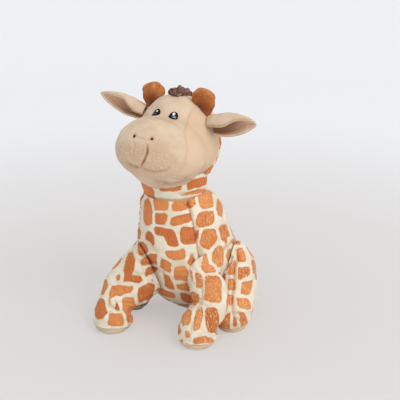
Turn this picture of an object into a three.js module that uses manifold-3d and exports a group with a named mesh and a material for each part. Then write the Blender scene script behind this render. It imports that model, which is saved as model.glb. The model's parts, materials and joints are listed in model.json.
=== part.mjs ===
// A small sitting plush giraffe, 186 mm tall: its sewn covers, filling, horns, ears, mane and stitching.
// Units are millimetres and +Z is up. The toy faces -Y and its own left is +X.
// The origin is the middle of the flat under its seat.
import * as THREE from 'three';
import { mergeVertices } from 'three/addons/utils/BufferGeometryUtils.js';
import Module from 'manifold-3d';

const wasm = await Module();
wasm.setup();

// Cloth and clearances
const fabric = 1.4; // short-pile plush with its backing
const gap = 0.35; // between neighbouring pieces
const fillEase = 1.3; // the filling stands this far inside the cloth
const seamEase = 0.7; // a sewn-on piece is cut this far off the smooth form that carries it
const flat = 0.5; // depth of the flats that the toy stands on
const seatBluntness = 3.2; // 2 is a round seat, more is flatter
const seatRise = 38; // height above which the rump no longer rounds under

// Torso: middle line, half depth and half width at six heights
const torsoStations = {
  seat: { height: 0, middle: 0, halfDepth: 34, halfWidth: 36 },
  hip: { height: 32, middle: -12.5, halfDepth: 45.5, halfWidth: 37.5 },
  belly: { height: 58, middle: -25, halfDepth: 44, halfWidth: 35 },
  chest: { height: 84, middle: -33.5, halfDepth: 36.5, halfWidth: 31 },
  shoulder: { height: 97, middle: -38.5, halfDepth: 31, halfWidth: 28 },
  collar: { height: 106, middle: -42, halfDepth: 25, halfWidth: 24 },
};
const bellyPanelAngle = 50; // degrees from the front to the panel's side seam
const pelletFill = 30; // height up to which the seat is filled with pellets

// Neck: a stuffed dome under the head
const neckRadius = 25;
const neckRise = 13; // its centre above the collar
const neckForward = 4; // and ahead of the collar's middle
const neckCentre = {
  y: torsoStations.collar.middle - neckForward,
  z: torsoStations.collar.height + neckRise,
};
const neckRoom = 0.9; // between the neck and the pocket that the head turns on

// Head, before it is turned
const headTurn = -4; // degrees, towards the toy's right
const skullBack = 7; // middle of the skull behind the neck's centre
const skullRise = 27; // and above it
const skull = {
  y: neckCentre.y + skullBack,
  z: neckCentre.z + skullRise,
  halfWidth: 32.6,
  halfDepth: 25.5,
  halfHeight: 33.5,
};
const muzzleForward = 25; // middle of the muzzle ahead of the skull's
const muzzleDrop = 3.5; // and below it
const muzzle = {
  y: skull.y - muzzleForward,
  z: skull.z - muzzleDrop,
  halfWidth: 35,
  halfDepth: 26,
  halfHeight: 25,
};
const coreForward = 13; // the point that the head's directions are taken from, ahead of the skull's middle
const coreDrop = 3; // and below it
const headCore = { y: skull.y - coreForward, z: skull.z - coreDrop };
const headBlend = 16; // higher keeps skull and muzzle more distinct
const faceSeamTop = 96; // degrees from the muzzle's axis to the seam, at the crown
const faceSeamSide = 118; // at the ears
const faceSeamChin = 62; // under the chin

// Embroidery on the face: places are a polar angle from the muzzle's axis and a turn from the crown
const eye = { polar: 77, turn: 17, width: 7, tall: 7.4 };
const nostril = { polar: 26, turn: 29.3, width: 3.4, tall: 3.4 };
const threadRaise = 0.9; // thickness of the embroidery
const threadSeat = 0.8; // its back stands this far off the face's smooth form
const mouthTop = { polar: 17, aside: 5.3 }; // ends of the lip's cleft, which leans to one side
const mouthBottom = { polar: -12, aside: 1.6 };
const mouthThread = 1.2;

// Horns and mane
const hornSpacing = 44;
const hornForward = 1.5; // ahead of the skull's middle
const hornSeat = 19; // foot of the horn above the skull's middle
const hornHeight = 21;
const hornWidth = 20;
const hornThickness = 11;
const hornLean = 3.5; // each top stands this much further out than its foot
const hornFlex = 12; // degrees each way
const maneWidth = 10;
const maneTuftLength = 17;
const maneTuftStart = 100; // degrees from the muzzle's axis, just behind the crown
const maneTuftHeight = 9;
const maneTuftRaise = 0.8; // middle of the tuft above the crown
const maneStripRaise = 2.2;

// Ears
const earLength = 41;
const earHalfHeight = 9;
const earHalfDepth = 6.5;
const earInset = 4.1; // its root inside the widest part of the skull
const earForward = 3; // ahead of the skull's middle
const earSeat = 15; // above the skull's middle
const earHinge = 2; // the ear flaps about a line this far out from its base
const earRise = { left: 9, right: 14 }; // degrees up from level
const earSweep = 6; // degrees forward
const earRoot = 0.72; // share of its full size that the ear has where it is sewn on
const earOpening = 118; // degrees each way from the fold to a lip
const earCloth = 1.5;
const earFlap = 15; // degrees each way

// Legs, with sideways distances from the middle; each foot stands where the toy was set down
const foreleg = {
  rootInset: 14,
  shoulderHeight: 57,
  shoulderAngle: 55,
  left: { knee: { x: 39, y: -60, z: 31 }, foot: { x: 33.5, y: -68.5 } },
  right: { knee: { x: 33, y: -68, z: 30 }, foot: { x: 35.5, y: -78 } },
  halfWidth: [11, 11, 11, 14, 15.5],
  halfDepth: [12, 11, 11, 15, 17.5],
  swing: [0, 40],
};
const hindleg = {
  hipHeight: 44,
  hipAngle: 93,
  top: { x: 33, y: -12, z: 60 },
  haunch: { x: 36.5, y: -15, z: 36 },
  left: { foot: { x: 43, y: -31 } },
  right: { foot: { x: 44, y: -36 } },
  halfWidth: [9, 13.5, 14.5, 12.5, 12.5],
  halfDepth: [13, 21, 23, 17, 15.5],
  swing: [-12, 5],
};
const ankleHeight = 13;

// Tail
const tailRootHeight = 34;
const tailRadius = 2.6;
const tailLength = 34;
const tailTuftLength = 14;
const tailTuftRadius = 5;
const tailSwing = 30; // degrees each way

// Facets
const torsoSides = 26;
const headSides = 28;
const headRings = 18;
const faceRows = 11;
const backRows = 5;
const limbSides = 16;
const limbRings = 12;
const ovalSides = 14;
const sweepSteps = 4;

const radians = THREE.MathUtils.degToRad;

const finish = {
  print: { color: 0xece2cd, roughness: 0.9, metalness: 0 },
  beige: { color: 0xdec4a8, roughness: 0.92, metalness: 0 },
  lining: { color: 0xc9a188, roughness: 0.92, metalness: 0 },
  rust: { color: 0xb06034, roughness: 0.88, metalness: 0 },
  mane: { color: 0x6e4b46, roughness: 0.95, metalness: 0 },
  fill: { color: 0xf4f2ec, roughness: 1, metalness: 0 },
  pellets: { color: 0xd8d8d4, roughness: 0.7, metalness: 0 },
  black: { color: 0x17181a, roughness: 0.4, metalness: 0 },
  brown: { color: 0x4a2f22, roughness: 0.6, metalness: 0 },
};

// Mesh helpers

// Closed body from rings of points: each ring has the same count, and both ends are capped by a fan
function ringsToGeometry(rings) {
  const sides = rings[0].length;
  const positions = [];
  const index = [];
  for (const ring of rings) {
    for (const point of ring) {
      positions.push(point.x, point.y, point.z);
    }
  }
  for (let row = 0; row < rings.length - 1; row += 1) {
    for (let i = 0; i < sides; i += 1) {
      const a = row * sides + i;
      const b = row * sides + ((i + 1) % sides);
      index.push(a, b, b + sides, a, b + sides, a + sides);
    }
  }
  const cap = (row, flip) => {
    const middle = new THREE.Vector3();
    for (const point of rings[row]) {
      middle.add(point);
    }
    middle.divideScalar(sides);
    positions.push(middle.x, middle.y, middle.z);
    const centre = positions.length / 3 - 1;
    for (let i = 0; i < sides; i += 1) {
      const a = row * sides + i;
      const b = row * sides + ((i + 1) % sides);
      index.push(...(flip ? [centre, b, a] : [centre, a, b]));
    }
  };
  cap(0, true);
  cap(rings.length - 1, false);
  return indexed(positions, index);
}

function indexed(positions, index) {
  const geometry = new THREE.BufferGeometry();
  geometry.setAttribute('position', new THREE.Float32BufferAttribute(positions, 3));
  geometry.setIndex(index);
  return geometry;
}

// Closed slab between an outer and an inner grid of points, joined around the rim
function slab(outer, inner) {
  const rows = outer.length;
  const columns = outer[0].length;
  const positions = [];
  const index = [];
  for (const grid of [outer, inner]) {
    for (const row of grid) {
      for (const point of row) {
        positions.push(point.x, point.y, point.z);
      }
    }
  }
  const at = (layer, row, column) => layer * rows * columns + row * columns + column;
  const quad = (a, b, c, d) => index.push(a, b, c, a, c, d);
  for (let r = 0; r < rows - 1; r += 1) {
    for (let c = 0; c < columns - 1; c += 1) {
      quad(at(0, r, c), at(0, r, c + 1), at(0, r + 1, c + 1), at(0, r + 1, c));
      quad(at(1, r, c), at(1, r + 1, c), at(1, r + 1, c + 1), at(1, r, c + 1));
    }
  }
  for (let r = 0; r < rows - 1; r += 1) {
    quad(at(0, r, 0), at(0, r + 1, 0), at(1, r + 1, 0), at(1, r, 0));
    const last = columns - 1;
    quad(at(0, r, last), at(1, r, last), at(1, r + 1, last), at(0, r + 1, last));
  }
  for (let c = 0; c < columns - 1; c += 1) {
    quad(at(0, 0, c), at(1, 0, c), at(1, 0, c + 1), at(0, 0, c + 1));
    const last = rows - 1;
    quad(at(0, last, c), at(0, last, c + 1), at(1, last, c + 1), at(1, last, c));
  }
  return indexed(positions, index);
}

function signedVolume(geometry) {
  const position = geometry.attributes.position;
  const index = geometry.index;
  const a = new THREE.Vector3();
  const b = new THREE.Vector3();
  const c = new THREE.Vector3();
  let sum = 0;
  for (let i = 0; i < index.count; i += 3) {
    a.fromBufferAttribute(position, index.getX(i));
    b.fromBufferAttribute(position, index.getX(i + 1));
    c.fromBufferAttribute(position, index.getX(i + 2));
    sum += a.dot(b.cross(c)) / 6;
  }
  return sum;
}

// Merged, free of collapsed facets and with its faces pointing out
function tidied(source) {
  const plain = source.clone();
  plain.deleteAttribute('normal');
  plain.deleteAttribute('uv');
  const merged = mergeVertices(plain, 1e-4);
  const kept = [];
  for (let i = 0; i < merged.index.count; i += 3) {
    const corner = [0, 1, 2].map((k) => merged.index.getX(i + k));
    if (new Set(corner).size === 3) {
      kept.push(...corner);
    }
  }
  merged.setIndex(kept);
  if (signedVolume(merged) < 0) {
    merged.setIndex(kept.reverse());
  }
  return merged;
}

function solid(geometry) {
  const merged = tidied(geometry);
  return new wasm.Manifold(new wasm.Mesh({
    numProp: 3,
    vertProperties: new Float32Array(merged.attributes.position.array),
    triVerts: new Uint32Array(merged.index.array),
  }));
}

function geometryOf(manifold) {
  const mesh = manifold.getMesh();
  return indexed(Array.from(mesh.vertProperties), Array.from(mesh.triVerts));
}

function turnedAbout(geometry, pivot, axis, degrees) {
  const turn = new THREE.Matrix4().makeRotationAxis(axis, radians(degrees));
  const toPivot = new THREE.Matrix4().makeTranslation(pivot.x, pivot.y, pivot.z);
  const fromPivot = new THREE.Matrix4().makeTranslation(-pivot.x, -pivot.y, -pivot.z);
  return geometry.clone().applyMatrix4(toPivot.multiply(turn).multiply(fromPivot));
}

// What a piece must clear while it swings: its neighbour, seen from the piece, over the whole range
function sweptNeighbour(neighbour, pivot, axis, range) {
  let swept = null;
  for (let step = 0; step < sweepSteps; step += 1) {
    const degrees = THREE.MathUtils.lerp(range[0], range[1], step / (sweepSteps - 1));
    const placed = solid(turnedAbout(neighbour, pivot, axis, -degrees));
    swept = swept ? swept.add(placed) : placed;
  }
  return swept;
}

function box(from, to) {
  const size = new THREE.Vector3().subVectors(to, from);
  const geometry = new THREE.BoxGeometry(size.x, size.y, size.z);
  return geometry.translate((from.x + to.x) / 2, (from.y + to.y) / 2, (from.z + to.z) / 2);
}

// Smooth value through named stations, by cubic Hermite spans with finite-difference slopes
function between(list, key, at) {
  const last = list.length - 1;
  const slope = (i) => {
    const low = list[Math.max(i - 1, 0)];
    const high = list[Math.min(i + 1, last)];
    return (high[key] - low[key]) / (high.height - low.height);
  };
  let i = 0;
  while (i < last - 1 && at > list[i + 1].height) {
    i += 1;
  }
  const a = list[i];
  const b = list[i + 1];
  const span = b.height - a.height;
  const t = (at - a.height) / span;
  const t2 = t * t;
  const t3 = t2 * t;
  return (2 * t3 - 3 * t2 + 1) * a[key] + (t3 - 2 * t2 + t) * span * slope(i)
    + (3 * t2 - 2 * t3) * b[key] + (t3 - t2) * span * slope(i + 1);
}

// Torso

const stations = Object.values(torsoStations);
const torsoTop = torsoStations.collar.height;

// Point of the torso's skin: angle from the front towards the left side, and height.
// Each level is an ellipse, drawn in under the seat by a super-ellipse.
function torsoPoint(angle, height, grow = 0) {
  const under = Math.max(0, seatRise - height) / (seatRise + flat + grow);
  const round = Math.max(0, 1 - under ** seatBluntness) ** (1 / seatBluntness);
  const halfWidth = (between(stations, 'halfWidth', height) + grow) * round;
  const halfDepth = (between(stations, 'halfDepth', height) + grow) * round;
  return new THREE.Vector3(
    halfWidth * Math.sin(angle),
    between(stations, 'middle', height) - halfDepth * Math.cos(angle),
    height,
  );
}

function torsoNormal(angle, height) {
  const small = 0.01;
  const around = torsoPoint(angle + small, height).sub(torsoPoint(angle - small, height));
  const up = torsoPoint(angle, height + small).sub(torsoPoint(angle, height - small));
  return around.cross(up).normalize();
}

// Heights from low to high, closer together at the foot where the form rounds under
function levels(low, high, count) {
  const out = [];
  for (let i = 0; i <= count; i += 1) {
    const t = i / count;
    out.push(low + (high - low) * t ** 1.6);
  }
  return out;
}

// Whole slice of the torso between two heights
function torsoSlice(low, high, grow, count, sides = torsoSides) {
  const rings = levels(low, high, count).map((height) => {
    const ring = [];
    for (let i = 0; i < sides; i += 1) {
      ring.push(torsoPoint((2 * Math.PI * i) / sides, height, grow));
    }
    return ring;
  });
  return ringsToGeometry(rings);
}

// The torso and the room that limbs leave round it
function torsoClearance() {
  return torsoSlice(-flat, torsoTop, seamEase, 9, 22);
}

// One cover panel: a sector of the skin, from the seat panel up to the collar
function torsoPanel(fromDegrees, toDegrees, columns) {
  const halfSeam = gap / 2;
  const grid = (grow) => levels(fabric + gap, torsoTop, 12).map((height) => {
    const row = [];
    for (let i = 0; i <= columns; i += 1) {
      const degrees = THREE.MathUtils.lerp(fromDegrees, toDegrees, i / columns);
      const point = torsoPoint(radians(degrees), height, grow);
      const along = new THREE.Vector3(Math.cos(radians(degrees)), Math.sin(radians(degrees)), 0);
      if (i === 0) {
        point.addScaledVector(along, halfSeam);
      }
      if (i === columns) {
        point.addScaledVector(along, -halfSeam);
      }
      row.push(point);
    }
    return row;
  });
  return slab(grid(0), grid(-fabric));
}

// Stuffed forms that swell and taper along a route

// Elliptical rings along a curve, square to it or all level. Half sizes are given at equal steps
// and the ends are rounded off.
function stuffedForm(form, grow = 0, rings = limbRings, sides = limbSides) {
  const bluntness = form.bluntness ?? 4;
  const sizeAt = (list, t) => {
    const spline = new THREE.SplineCurve(list.map((value, i) => new THREE.Vector2(i, value)));
    return spline.getPoint(t).y;
  };
  const out = [];
  for (let k = 1; k < rings; k += 1) {
    const t = (1 - Math.cos((Math.PI * k) / rings)) / 2;
    const centre = form.route.getPoint(t);
    const tangent = form.route.getTangent(t);
    const round = (1 - Math.abs(2 * t - 1) ** bluntness) ** (1 / bluntness);
    const facing = form.level ? new THREE.Vector3(0, 0, -1) : tangent;
    const depthAxis = new THREE.Vector3().crossVectors(facing, form.across).normalize();
    const widthAxis = new THREE.Vector3().crossVectors(depthAxis, facing).normalize();
    const width = (sizeAt(form.halfWidth, t) + grow) * round;
    const depth = (sizeAt(form.halfDepth, t) + grow) * round;
    const ring = [];
    for (let i = 0; i < sides; i += 1) {
      const turn = (2 * Math.PI * i) / sides;
      ring.push(centre.clone()
        .addScaledVector(widthAxis, width * Math.cos(turn))
        .addScaledVector(depthAxis, depth * Math.sin(turn)));
    }
    out.push(ring);
  }
  const start = form.route.getPoint(0).addScaledVector(form.route.getTangent(0), -grow);
  const end = form.route.getPoint(1).addScaledVector(form.route.getTangent(1), grow);
  return ringsToGeometry([Array(sides).fill(start), ...out, Array(sides).fill(end)]);
}

// Head

// Distance from the head's core to an ellipsoid's surface along a unit direction
function rayToEllipsoid(form, direction, grow) {
  const radius = new THREE.Vector3(form.halfWidth + grow, form.halfDepth + grow, form.halfHeight + grow);
  const from = new THREE.Vector3(0, headCore.y - form.y, headCore.z - form.z).divide(radius);
  const along = direction.clone().divide(radius);
  const a = along.lengthSq();
  const b = from.dot(along);
  const c = from.lengthSq() - 1;
  return (-b + Math.sqrt(b * b - a * c)) / a;
}

// Skull and muzzle joined by a smooth maximum
function headPoint(direction, grow = 0) {
  const reach = (rayToEllipsoid(skull, direction, grow) ** headBlend
    + rayToEllipsoid(muzzle, direction, grow) ** headBlend) ** (1 / headBlend);
  return new THREE.Vector3(0, headCore.y, headCore.z).addScaledVector(direction, reach);
}

// Unit direction: polar angle from the muzzle's axis, and turn about it from the crown towards the left
function headDirection(polar, turn) {
  return new THREE.Vector3(
    Math.sin(polar) * Math.sin(turn),
    -Math.cos(polar),
    Math.sin(polar) * Math.cos(turn),
  );
}

// Polar angle of the seam between the face and the back of the head, all round the head
function faceSeam(turn) {
  const side = Math.sin(turn) ** 2;
  const end = Math.cos(turn) > 0 ? faceSeamTop : faceSeamChin;
  return radians(THREE.MathUtils.lerp(end, faceSeamSide, side));
}

// Closed cap of the head between the seam and the front or back pole, as a shell of one cloth's thickness
function headCap(front) {
  const rows = front ? faceRows : backRows;
  const share = Array.from({ length: rows + 1 }, (_, i) => i / rows);
  const seamHalf = gap / 2 / skull.halfWidth;
  const layer = (grow) => share.map((t) => {
    const ring = [];
    for (let i = 0; i < headSides; i += 1) {
      const turn = (2 * Math.PI * i) / headSides;
      const seam = faceSeam(turn);
      const polar = front ? (seam - seamHalf) * t : Math.PI - (Math.PI - seam - seamHalf) * t;
      ring.push(headPoint(headDirection(polar, turn), grow));
    }
    return ring;
  });
  const outer = layer(0);
  const inner = layer(-fabric);
  return ringsToGeometry([...outer, ...inner.reverse()]);
}

function headSolid(grow, rings = headRings, sides = headSides) {
  const out = [];
  for (let k = 0; k <= rings; k += 1) {
    const ring = [];
    for (let i = 0; i < sides; i += 1) {
      ring.push(headPoint(headDirection((Math.PI * k) / rings, (2 * Math.PI * i) / sides), grow));
    }
    out.push(ring);
  }
  return ringsToGeometry(out);
}

// A place on the face: its middle, its outward normal, and the directions across and up along the cloth
function faceSpot(polarDegrees, turnDegrees) {
  const small = 0.001;
  const polar = radians(polarDegrees);
  const turn = radians(turnDegrees);
  const middle = headPoint(headDirection(polar, turn));
  const onward = headPoint(headDirection(polar + small, turn)).sub(middle);
  const around = headPoint(headDirection(polar, turn + small)).sub(middle);
  const normal = onward.cross(around).normalize();
  if (normal.dot(headDirection(polar, turn)) < 0) {
    normal.negate();
  }
  const across = new THREE.Vector3(0, 0, 1).cross(normal).normalize();
  const upward = normal.clone().cross(across);
  return { middle, normal, across, upward };
}

// Point near a face spot, found on the cloth along the ray from the head's core, then raised off it
function onFace(spot, across, upward, raise) {
  const near = spot.middle.clone().addScaledVector(spot.across, across).addScaledVector(spot.upward, upward);
  const direction = near.sub(new THREE.Vector3(0, headCore.y, headCore.z)).normalize();
  return headPoint(direction).addScaledVector(spot.normal, raise);
}

// Embroidered oval that follows the face, from its back to its front as shares of its size
function embroideredOval(mark, side) {
  const spot = faceSpot(mark.polar, side * mark.turn);
  const profile = [[0, 0], [0.6, 0], [1, 0], [0.96, 0.6 * threadRaise], [0.6, threadRaise], [0, threadRaise]];
  const rings = profile.map(([share, raise]) => {
    const ring = [];
    for (let i = 0; i < ovalSides; i += 1) {
      const turn = (2 * Math.PI * i) / ovalSides;
      const across = share * (mark.width / 2) * Math.sin(turn);
      const upward = share * (mark.tall / 2) * Math.cos(turn);
      ring.push(onFace(spot, across, upward, threadSeat + raise));
    }
    return ring;
  });
  return ringsToGeometry(rings);
}

// Thread pulled into the cleft of the lip
function mouthStitch() {
  const points = [];
  for (let i = 0; i <= 6; i += 1) {
    const polar = THREE.MathUtils.lerp(mouthTop.polar, mouthBottom.polar, i / 6);
    const near = headPoint(headDirection(radians(polar), 0));
    near.x += THREE.MathUtils.lerp(mouthTop.aside, mouthBottom.aside, i / 6);
    const direction = near.sub(new THREE.Vector3(0, headCore.y, headCore.z)).normalize();
    points.push(headPoint(direction).addScaledVector(direction, threadSeat + mouthThread / 2));
  }
  const size = mouthThread / 2;
  return stuffedForm({
    route: new THREE.CatmullRomCurve3(points),
    across: new THREE.Vector3(1, 0, 0),
    halfWidth: [size, size],
    halfDepth: [size, size],
  }, 0, 8, 8);
}

// Neck

const neckPivot = new THREE.Vector3(0, neckCentre.y, neckCentre.z);

function neckBall(radius) {
  const ball = new THREE.SphereGeometry(radius, 20, 12);
  return solid(ball.rotateX(Math.PI / 2).translate(neckPivot.x, neckPivot.y, neckPivot.z));
}

function neckDome(radius) {
  const reach = neckRadius * 2;
  const low = torsoTop + gap;
  const above = box(
    new THREE.Vector3(-reach, neckPivot.y - reach, low),
    new THREE.Vector3(reach, neckPivot.y + reach, low + 2 * reach),
  );
  return neckBall(radius).intersect(solid(above));
}

// Assembly

const toy = new THREE.Group();
const head = new THREE.Group();
head.position.set(0, neckPivot.y, 0);
head.rotation.z = radians(headTurn);
const headFrame = new THREE.Group();
headFrame.position.set(0, -neckPivot.y, 0);
head.add(headFrame);
toy.add(head);

function place(name, geometry, look, parent = toy) {
  const shape = tidied(geometry);
  shape.computeVertexNormals();
  const mesh = new THREE.Mesh(shape, new THREE.MeshStandardMaterial(look));
  mesh.name = name;
  parent.add(mesh);
}

function report(joint, pivot, axis, inHead = false) {
  const point = pivot.clone();
  const direction = axis.clone();
  if (inHead) {
    toy.updateMatrixWorld(true);
    point.applyMatrix4(headFrame.matrixWorld);
    direction.transformDirection(headFrame.matrixWorld);
  }
  const text = (vector) => vector.toArray().map((value) => value.toFixed(4)).join(' ');
  console.log(`${joint}: pivot ${text(point)} axis ${text(direction)}`);
}

function buildTorso() {
  const inset = -(fabric + fillEase);
  const bottom = fabric + gap;
  place('seat_panel', torsoSlice(0, fabric, 0, 2), finish.print);
  place('belly_panel', torsoPanel(-bellyPanelAngle, bellyPanelAngle, 8), finish.print);
  place('side_panel_left', torsoPanel(bellyPanelAngle, 180, 10), finish.print);
  place('side_panel_right', torsoPanel(180, 360 - bellyPanelAngle, 10), finish.print);
  place('pellet_bag', torsoSlice(bottom, pelletFill, inset, 5, 20), finish.pellets);
  place('torso_stuffing', torsoSlice(pelletFill + gap, torsoTop, inset, 6, 20), finish.fill);
}

function buildNeck() {
  const inner = neckBall(neckRadius - fabric);
  const core = neckDome(neckRadius - fabric - fillEase);
  const mouth = new THREE.CylinderGeometry(neckRadius / 2, neckRadius / 2, 2 * neckRadius, 20);
  mouth.rotateX(Math.PI / 2).translate(neckPivot.x, neckPivot.y, neckPivot.z + neckRadius);
  place('neck_cover', geometryOf(neckDome(neckRadius).subtract(inner).subtract(solid(mouth))), finish.print);
  place('neck_stuffing', geometryOf(core), finish.fill);
  report('head_turn', new THREE.Vector3(0, neckPivot.y, torsoTop), new THREE.Vector3(0, 0, 1));
}

function buildHead() {
  const pocket = neckBall(neckRadius + neckRoom);
  const carved = (geometry) => geometryOf(solid(geometry).subtract(pocket));
  place('face_cover', carved(headCap(true)), finish.beige, headFrame);
  place('head_back_cover', carved(headCap(false)), finish.print, headFrame);
  place('head_stuffing', carved(headSolid(-(fabric + fillEase), 12, 20)), finish.fill, headFrame);
  for (const [side, name] of [[1, 'left'], [-1, 'right']]) {
    place(`eye_${name}`, embroideredOval(eye, side), finish.black, headFrame);
    place(`nostril_${name}`, embroideredOval(nostril, side), finish.brown, headFrame);
  }
  place('mouth_stitch', mouthStitch(), finish.brown, headFrame);
  report('head_nod', neckPivot, new THREE.Vector3(1, 0, 0), true);
}

// Crown-to-nape line of the head, as a polar angle measured past the crown towards the back
function manePoint(polarDegrees, raise) {
  const direction = headDirection(radians(polarDegrees), 0);
  return headPoint(direction).addScaledVector(direction, raise);
}

function buildMane() {
  const clear = solid(headSolid(seamEase));
  const across = new THREE.Vector3(1, 0, 0);
  const tuft = {
    route: new THREE.CatmullRomCurve3([
      manePoint(maneTuftStart, maneTuftRaise),
      manePoint(maneTuftStart + 12, maneTuftRaise + 1),
      manePoint(maneTuftStart + maneTuftLength * 1.6, maneTuftRaise - 1),
    ]),
    across,
    halfWidth: [maneWidth * 0.55, maneWidth * 0.7, maneWidth * 0.5],
    halfDepth: [maneTuftHeight / 2, maneTuftHeight / 2, maneTuftHeight / 2],
    bluntness: 3,
  };
  const tuftSolid = solid(stuffedForm(tuft, 0, 10, 14)).subtract(clear);
  const strip = {
    route: new THREE.CatmullRomCurve3([120, 135, 150, 165].map((polar) => manePoint(polar, maneStripRaise))),
    across,
    halfWidth: [maneWidth / 2, maneWidth / 2, maneWidth / 2],
    halfDepth: [maneStripRaise * 1.6, maneStripRaise * 1.6, maneStripRaise * 1.6],
    bluntness: 5,
  };
  const spacer = solid(stuffedForm(tuft, seamEase, 10, 14));
  const stripSolid = solid(stuffedForm(strip, 0, 14, 10)).subtract(clear).subtract(spacer);
  place('mane_tuft', geometryOf(tuftSolid), finish.mane, headFrame);
  place('mane_strip', geometryOf(stripSolid), finish.mane, headFrame);
}

function buildHorns() {
  const neighbour = headSolid(seamEase);
  const axis = new THREE.Vector3(1, 0, 0);
  for (const [side, name] of [[1, 'left'], [-1, 'right']]) {
    const base = new THREE.Vector3(
      side * (hornSpacing / 2 - hornLean),
      skull.y - hornForward,
      skull.z + hornSeat,
    );
    const top = base.clone().add(new THREE.Vector3(side * hornLean, 0, hornHeight));
    const middle = base.clone().lerp(top, 0.5);
    const form = {
      route: new THREE.CatmullRomCurve3([base, middle, top]),
      across: new THREE.Vector3(1, 0, 0),
      halfWidth: [hornWidth * 0.4, hornWidth * 0.5, hornWidth * 0.48],
      halfDepth: [hornThickness * 0.42, hornThickness * 0.5, hornThickness * 0.42],
      bluntness: 2.6,
    };
    const pivot = base.clone().lerp(top, 0.25);
    const swept = sweptNeighbour(neighbour, pivot, axis, [-hornFlex, hornFlex]);
    place(`horn_${name}`, geometryOf(solid(stuffedForm(form)).subtract(swept)), finish.rust, headFrame);
    report(`horn_${name}`, pivot, axis, true);
  }
}

function earBase(side) {
  return new THREE.Vector3(side * (skull.halfWidth - earInset), skull.y - earForward, skull.z + earSeat);
}

// Folded leaf: a C-shaped section, open to the front, that narrows to the tip
function earSheet(side, rise, inset, thickness) {
  const forward = Math.sin(radians(earSweep));
  const out = side * Math.cos(radians(rise));
  const along = new THREE.Vector3(out, -forward, Math.sin(radians(rise))).normalize();
  const back = new THREE.Vector3(0, 1, 0).addScaledVector(along, -along.y).normalize();
  const over = new THREE.Vector3().crossVectors(back, along).multiplyScalar(-side).normalize();
  const base = earBase(side);
  const grid = (shrink) => {
    const rows = [];
    for (let r = 0; r <= 8; r += 1) {
      const share = (r / 8) * 0.985;
      const swell = earRoot + 4 * (1.02 - earRoot) * share * (1 - share);
      const leaf = Math.sqrt(1 - share ** 2.6) * swell;
      const row = [];
      for (let c = 0; c <= 10; c += 1) {
        const turn = radians(THREE.MathUtils.lerp(earOpening, -earOpening, c / 10));
        const depth = Math.max(earHalfDepth * leaf - shrink, 0.2);
        const tall = Math.max(earHalfHeight * leaf - shrink, 0.2);
        row.push(base.clone()
          .addScaledVector(along, share * (earLength - shrink))
          .addScaledVector(back, depth * Math.cos(turn))
          .addScaledVector(over, tall * Math.sin(turn)));
      }
      rows.push(row);
    }
    return rows;
  };
  return slab(grid(inset), grid(inset + thickness));
}

function buildEars() {
  const neighbour = headSolid(seamEase);
  const axis = new THREE.Vector3(0, 1, 0);
  for (const [side, name] of [[1, 'left'], [-1, 'right']]) {
    const pivot = earBase(side).add(new THREE.Vector3(side * earHinge, 0, 0));
    const swept = sweptNeighbour(neighbour, pivot, axis, [-earFlap, earFlap]);
    const cut = (sheet) => geometryOf(solid(sheet).subtract(swept));
    const outer = earSheet(side, earRise[name], 0, earCloth);
    const lining = earSheet(side, earRise[name], earCloth + gap, earCloth * 0.7);
    place(`ear_${name}_outer`, cut(outer), finish.beige, headFrame);
    place(`ear_${name}_lining`, cut(lining), finish.lining, headFrame);
    report(`ear_${name}`, pivot, axis, true);
  }
}

// One leg: a cloth tube open at the body and at the sole, its stuffing, and the sole pad
function buildLeg(name, form, pivot, axis, range) {
  const swept = sweptNeighbour(torsoClearance(), pivot, axis, range);
  const reach = 200;
  const below = (height) => solid(box(
    new THREE.Vector3(-reach, -reach, -reach),
    new THREE.Vector3(reach, reach, height),
  ));
  const outer = solid(stuffedForm(form));
  const inner = solid(stuffedForm(form, -fabric, 10, 12));
  const core = solid(stuffedForm(form, -(fabric + fillEase), 10, 12));
  const aboveSole = below(fabric + gap);
  const cover = outer.subtract(inner).subtract(swept).subtract(aboveSole);
  const sole = outer.intersect(below(fabric)).subtract(below(0)).subtract(swept);
  place(`${name}_cover`, geometryOf(cover), finish.print);
  place(`${name}_stuffing`, geometryOf(core.subtract(swept).subtract(aboveSole)), finish.fill);
  place(`${name}_sole`, geometryOf(sole), finish.beige);
  report(name, pivot, axis);
}

function buildForelegs() {
  for (const [side, name] of [[1, 'left'], [-1, 'right']]) {
    const angle = side * radians(foreleg.shoulderAngle);
    const shoulder = torsoPoint(angle, foreleg.shoulderHeight);
    const axis = torsoNormal(angle, foreleg.shoulderHeight);
    const root = shoulder.clone().addScaledVector(axis, -foreleg.rootInset);
    const { knee, foot } = foreleg[name];
    const at = (point, z) => new THREE.Vector3(side * point.x, point.y, z);
    const form = {
      route: new THREE.CatmullRomCurve3([root, at(knee, knee.z), at(foot, ankleHeight), at(foot, -flat)]),
      across: new THREE.Vector3(1, 0, 0),
      halfWidth: foreleg.halfWidth,
      halfDepth: foreleg.halfDepth,
    };
    const range = side > 0 ? foreleg.swing.map((value) => -value).reverse() : foreleg.swing;
    buildLeg(`foreleg_${name}`, form, shoulder, axis, range);
  }
}

function buildHindlegs() {
  for (const [side, name] of [[1, 'left'], [-1, 'right']]) {
    const angle = side * radians(hindleg.hipAngle);
    const hip = torsoPoint(angle, hindleg.hipHeight);
    const axis = new THREE.Vector3(side, 0, 0);
    const { foot } = hindleg[name];
    const at = (point, z) => new THREE.Vector3(side * point.x, point.y, z);
    const form = {
      route: new THREE.CatmullRomCurve3([
        at(hindleg.top, hindleg.top.z),
        at(hindleg.haunch, hindleg.haunch.z),
        at(foot, ankleHeight),
        at(foot, -flat),
      ]),
      across: new THREE.Vector3(1, 0, 0),
      level: true,
      halfWidth: hindleg.halfWidth,
      halfDepth: hindleg.halfDepth,
    };
    const range = side > 0 ? hindleg.swing.map((value) => -value).reverse() : hindleg.swing;
    buildLeg(`hindleg_${name}`, form, hip, axis, range);
  }
}

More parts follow.
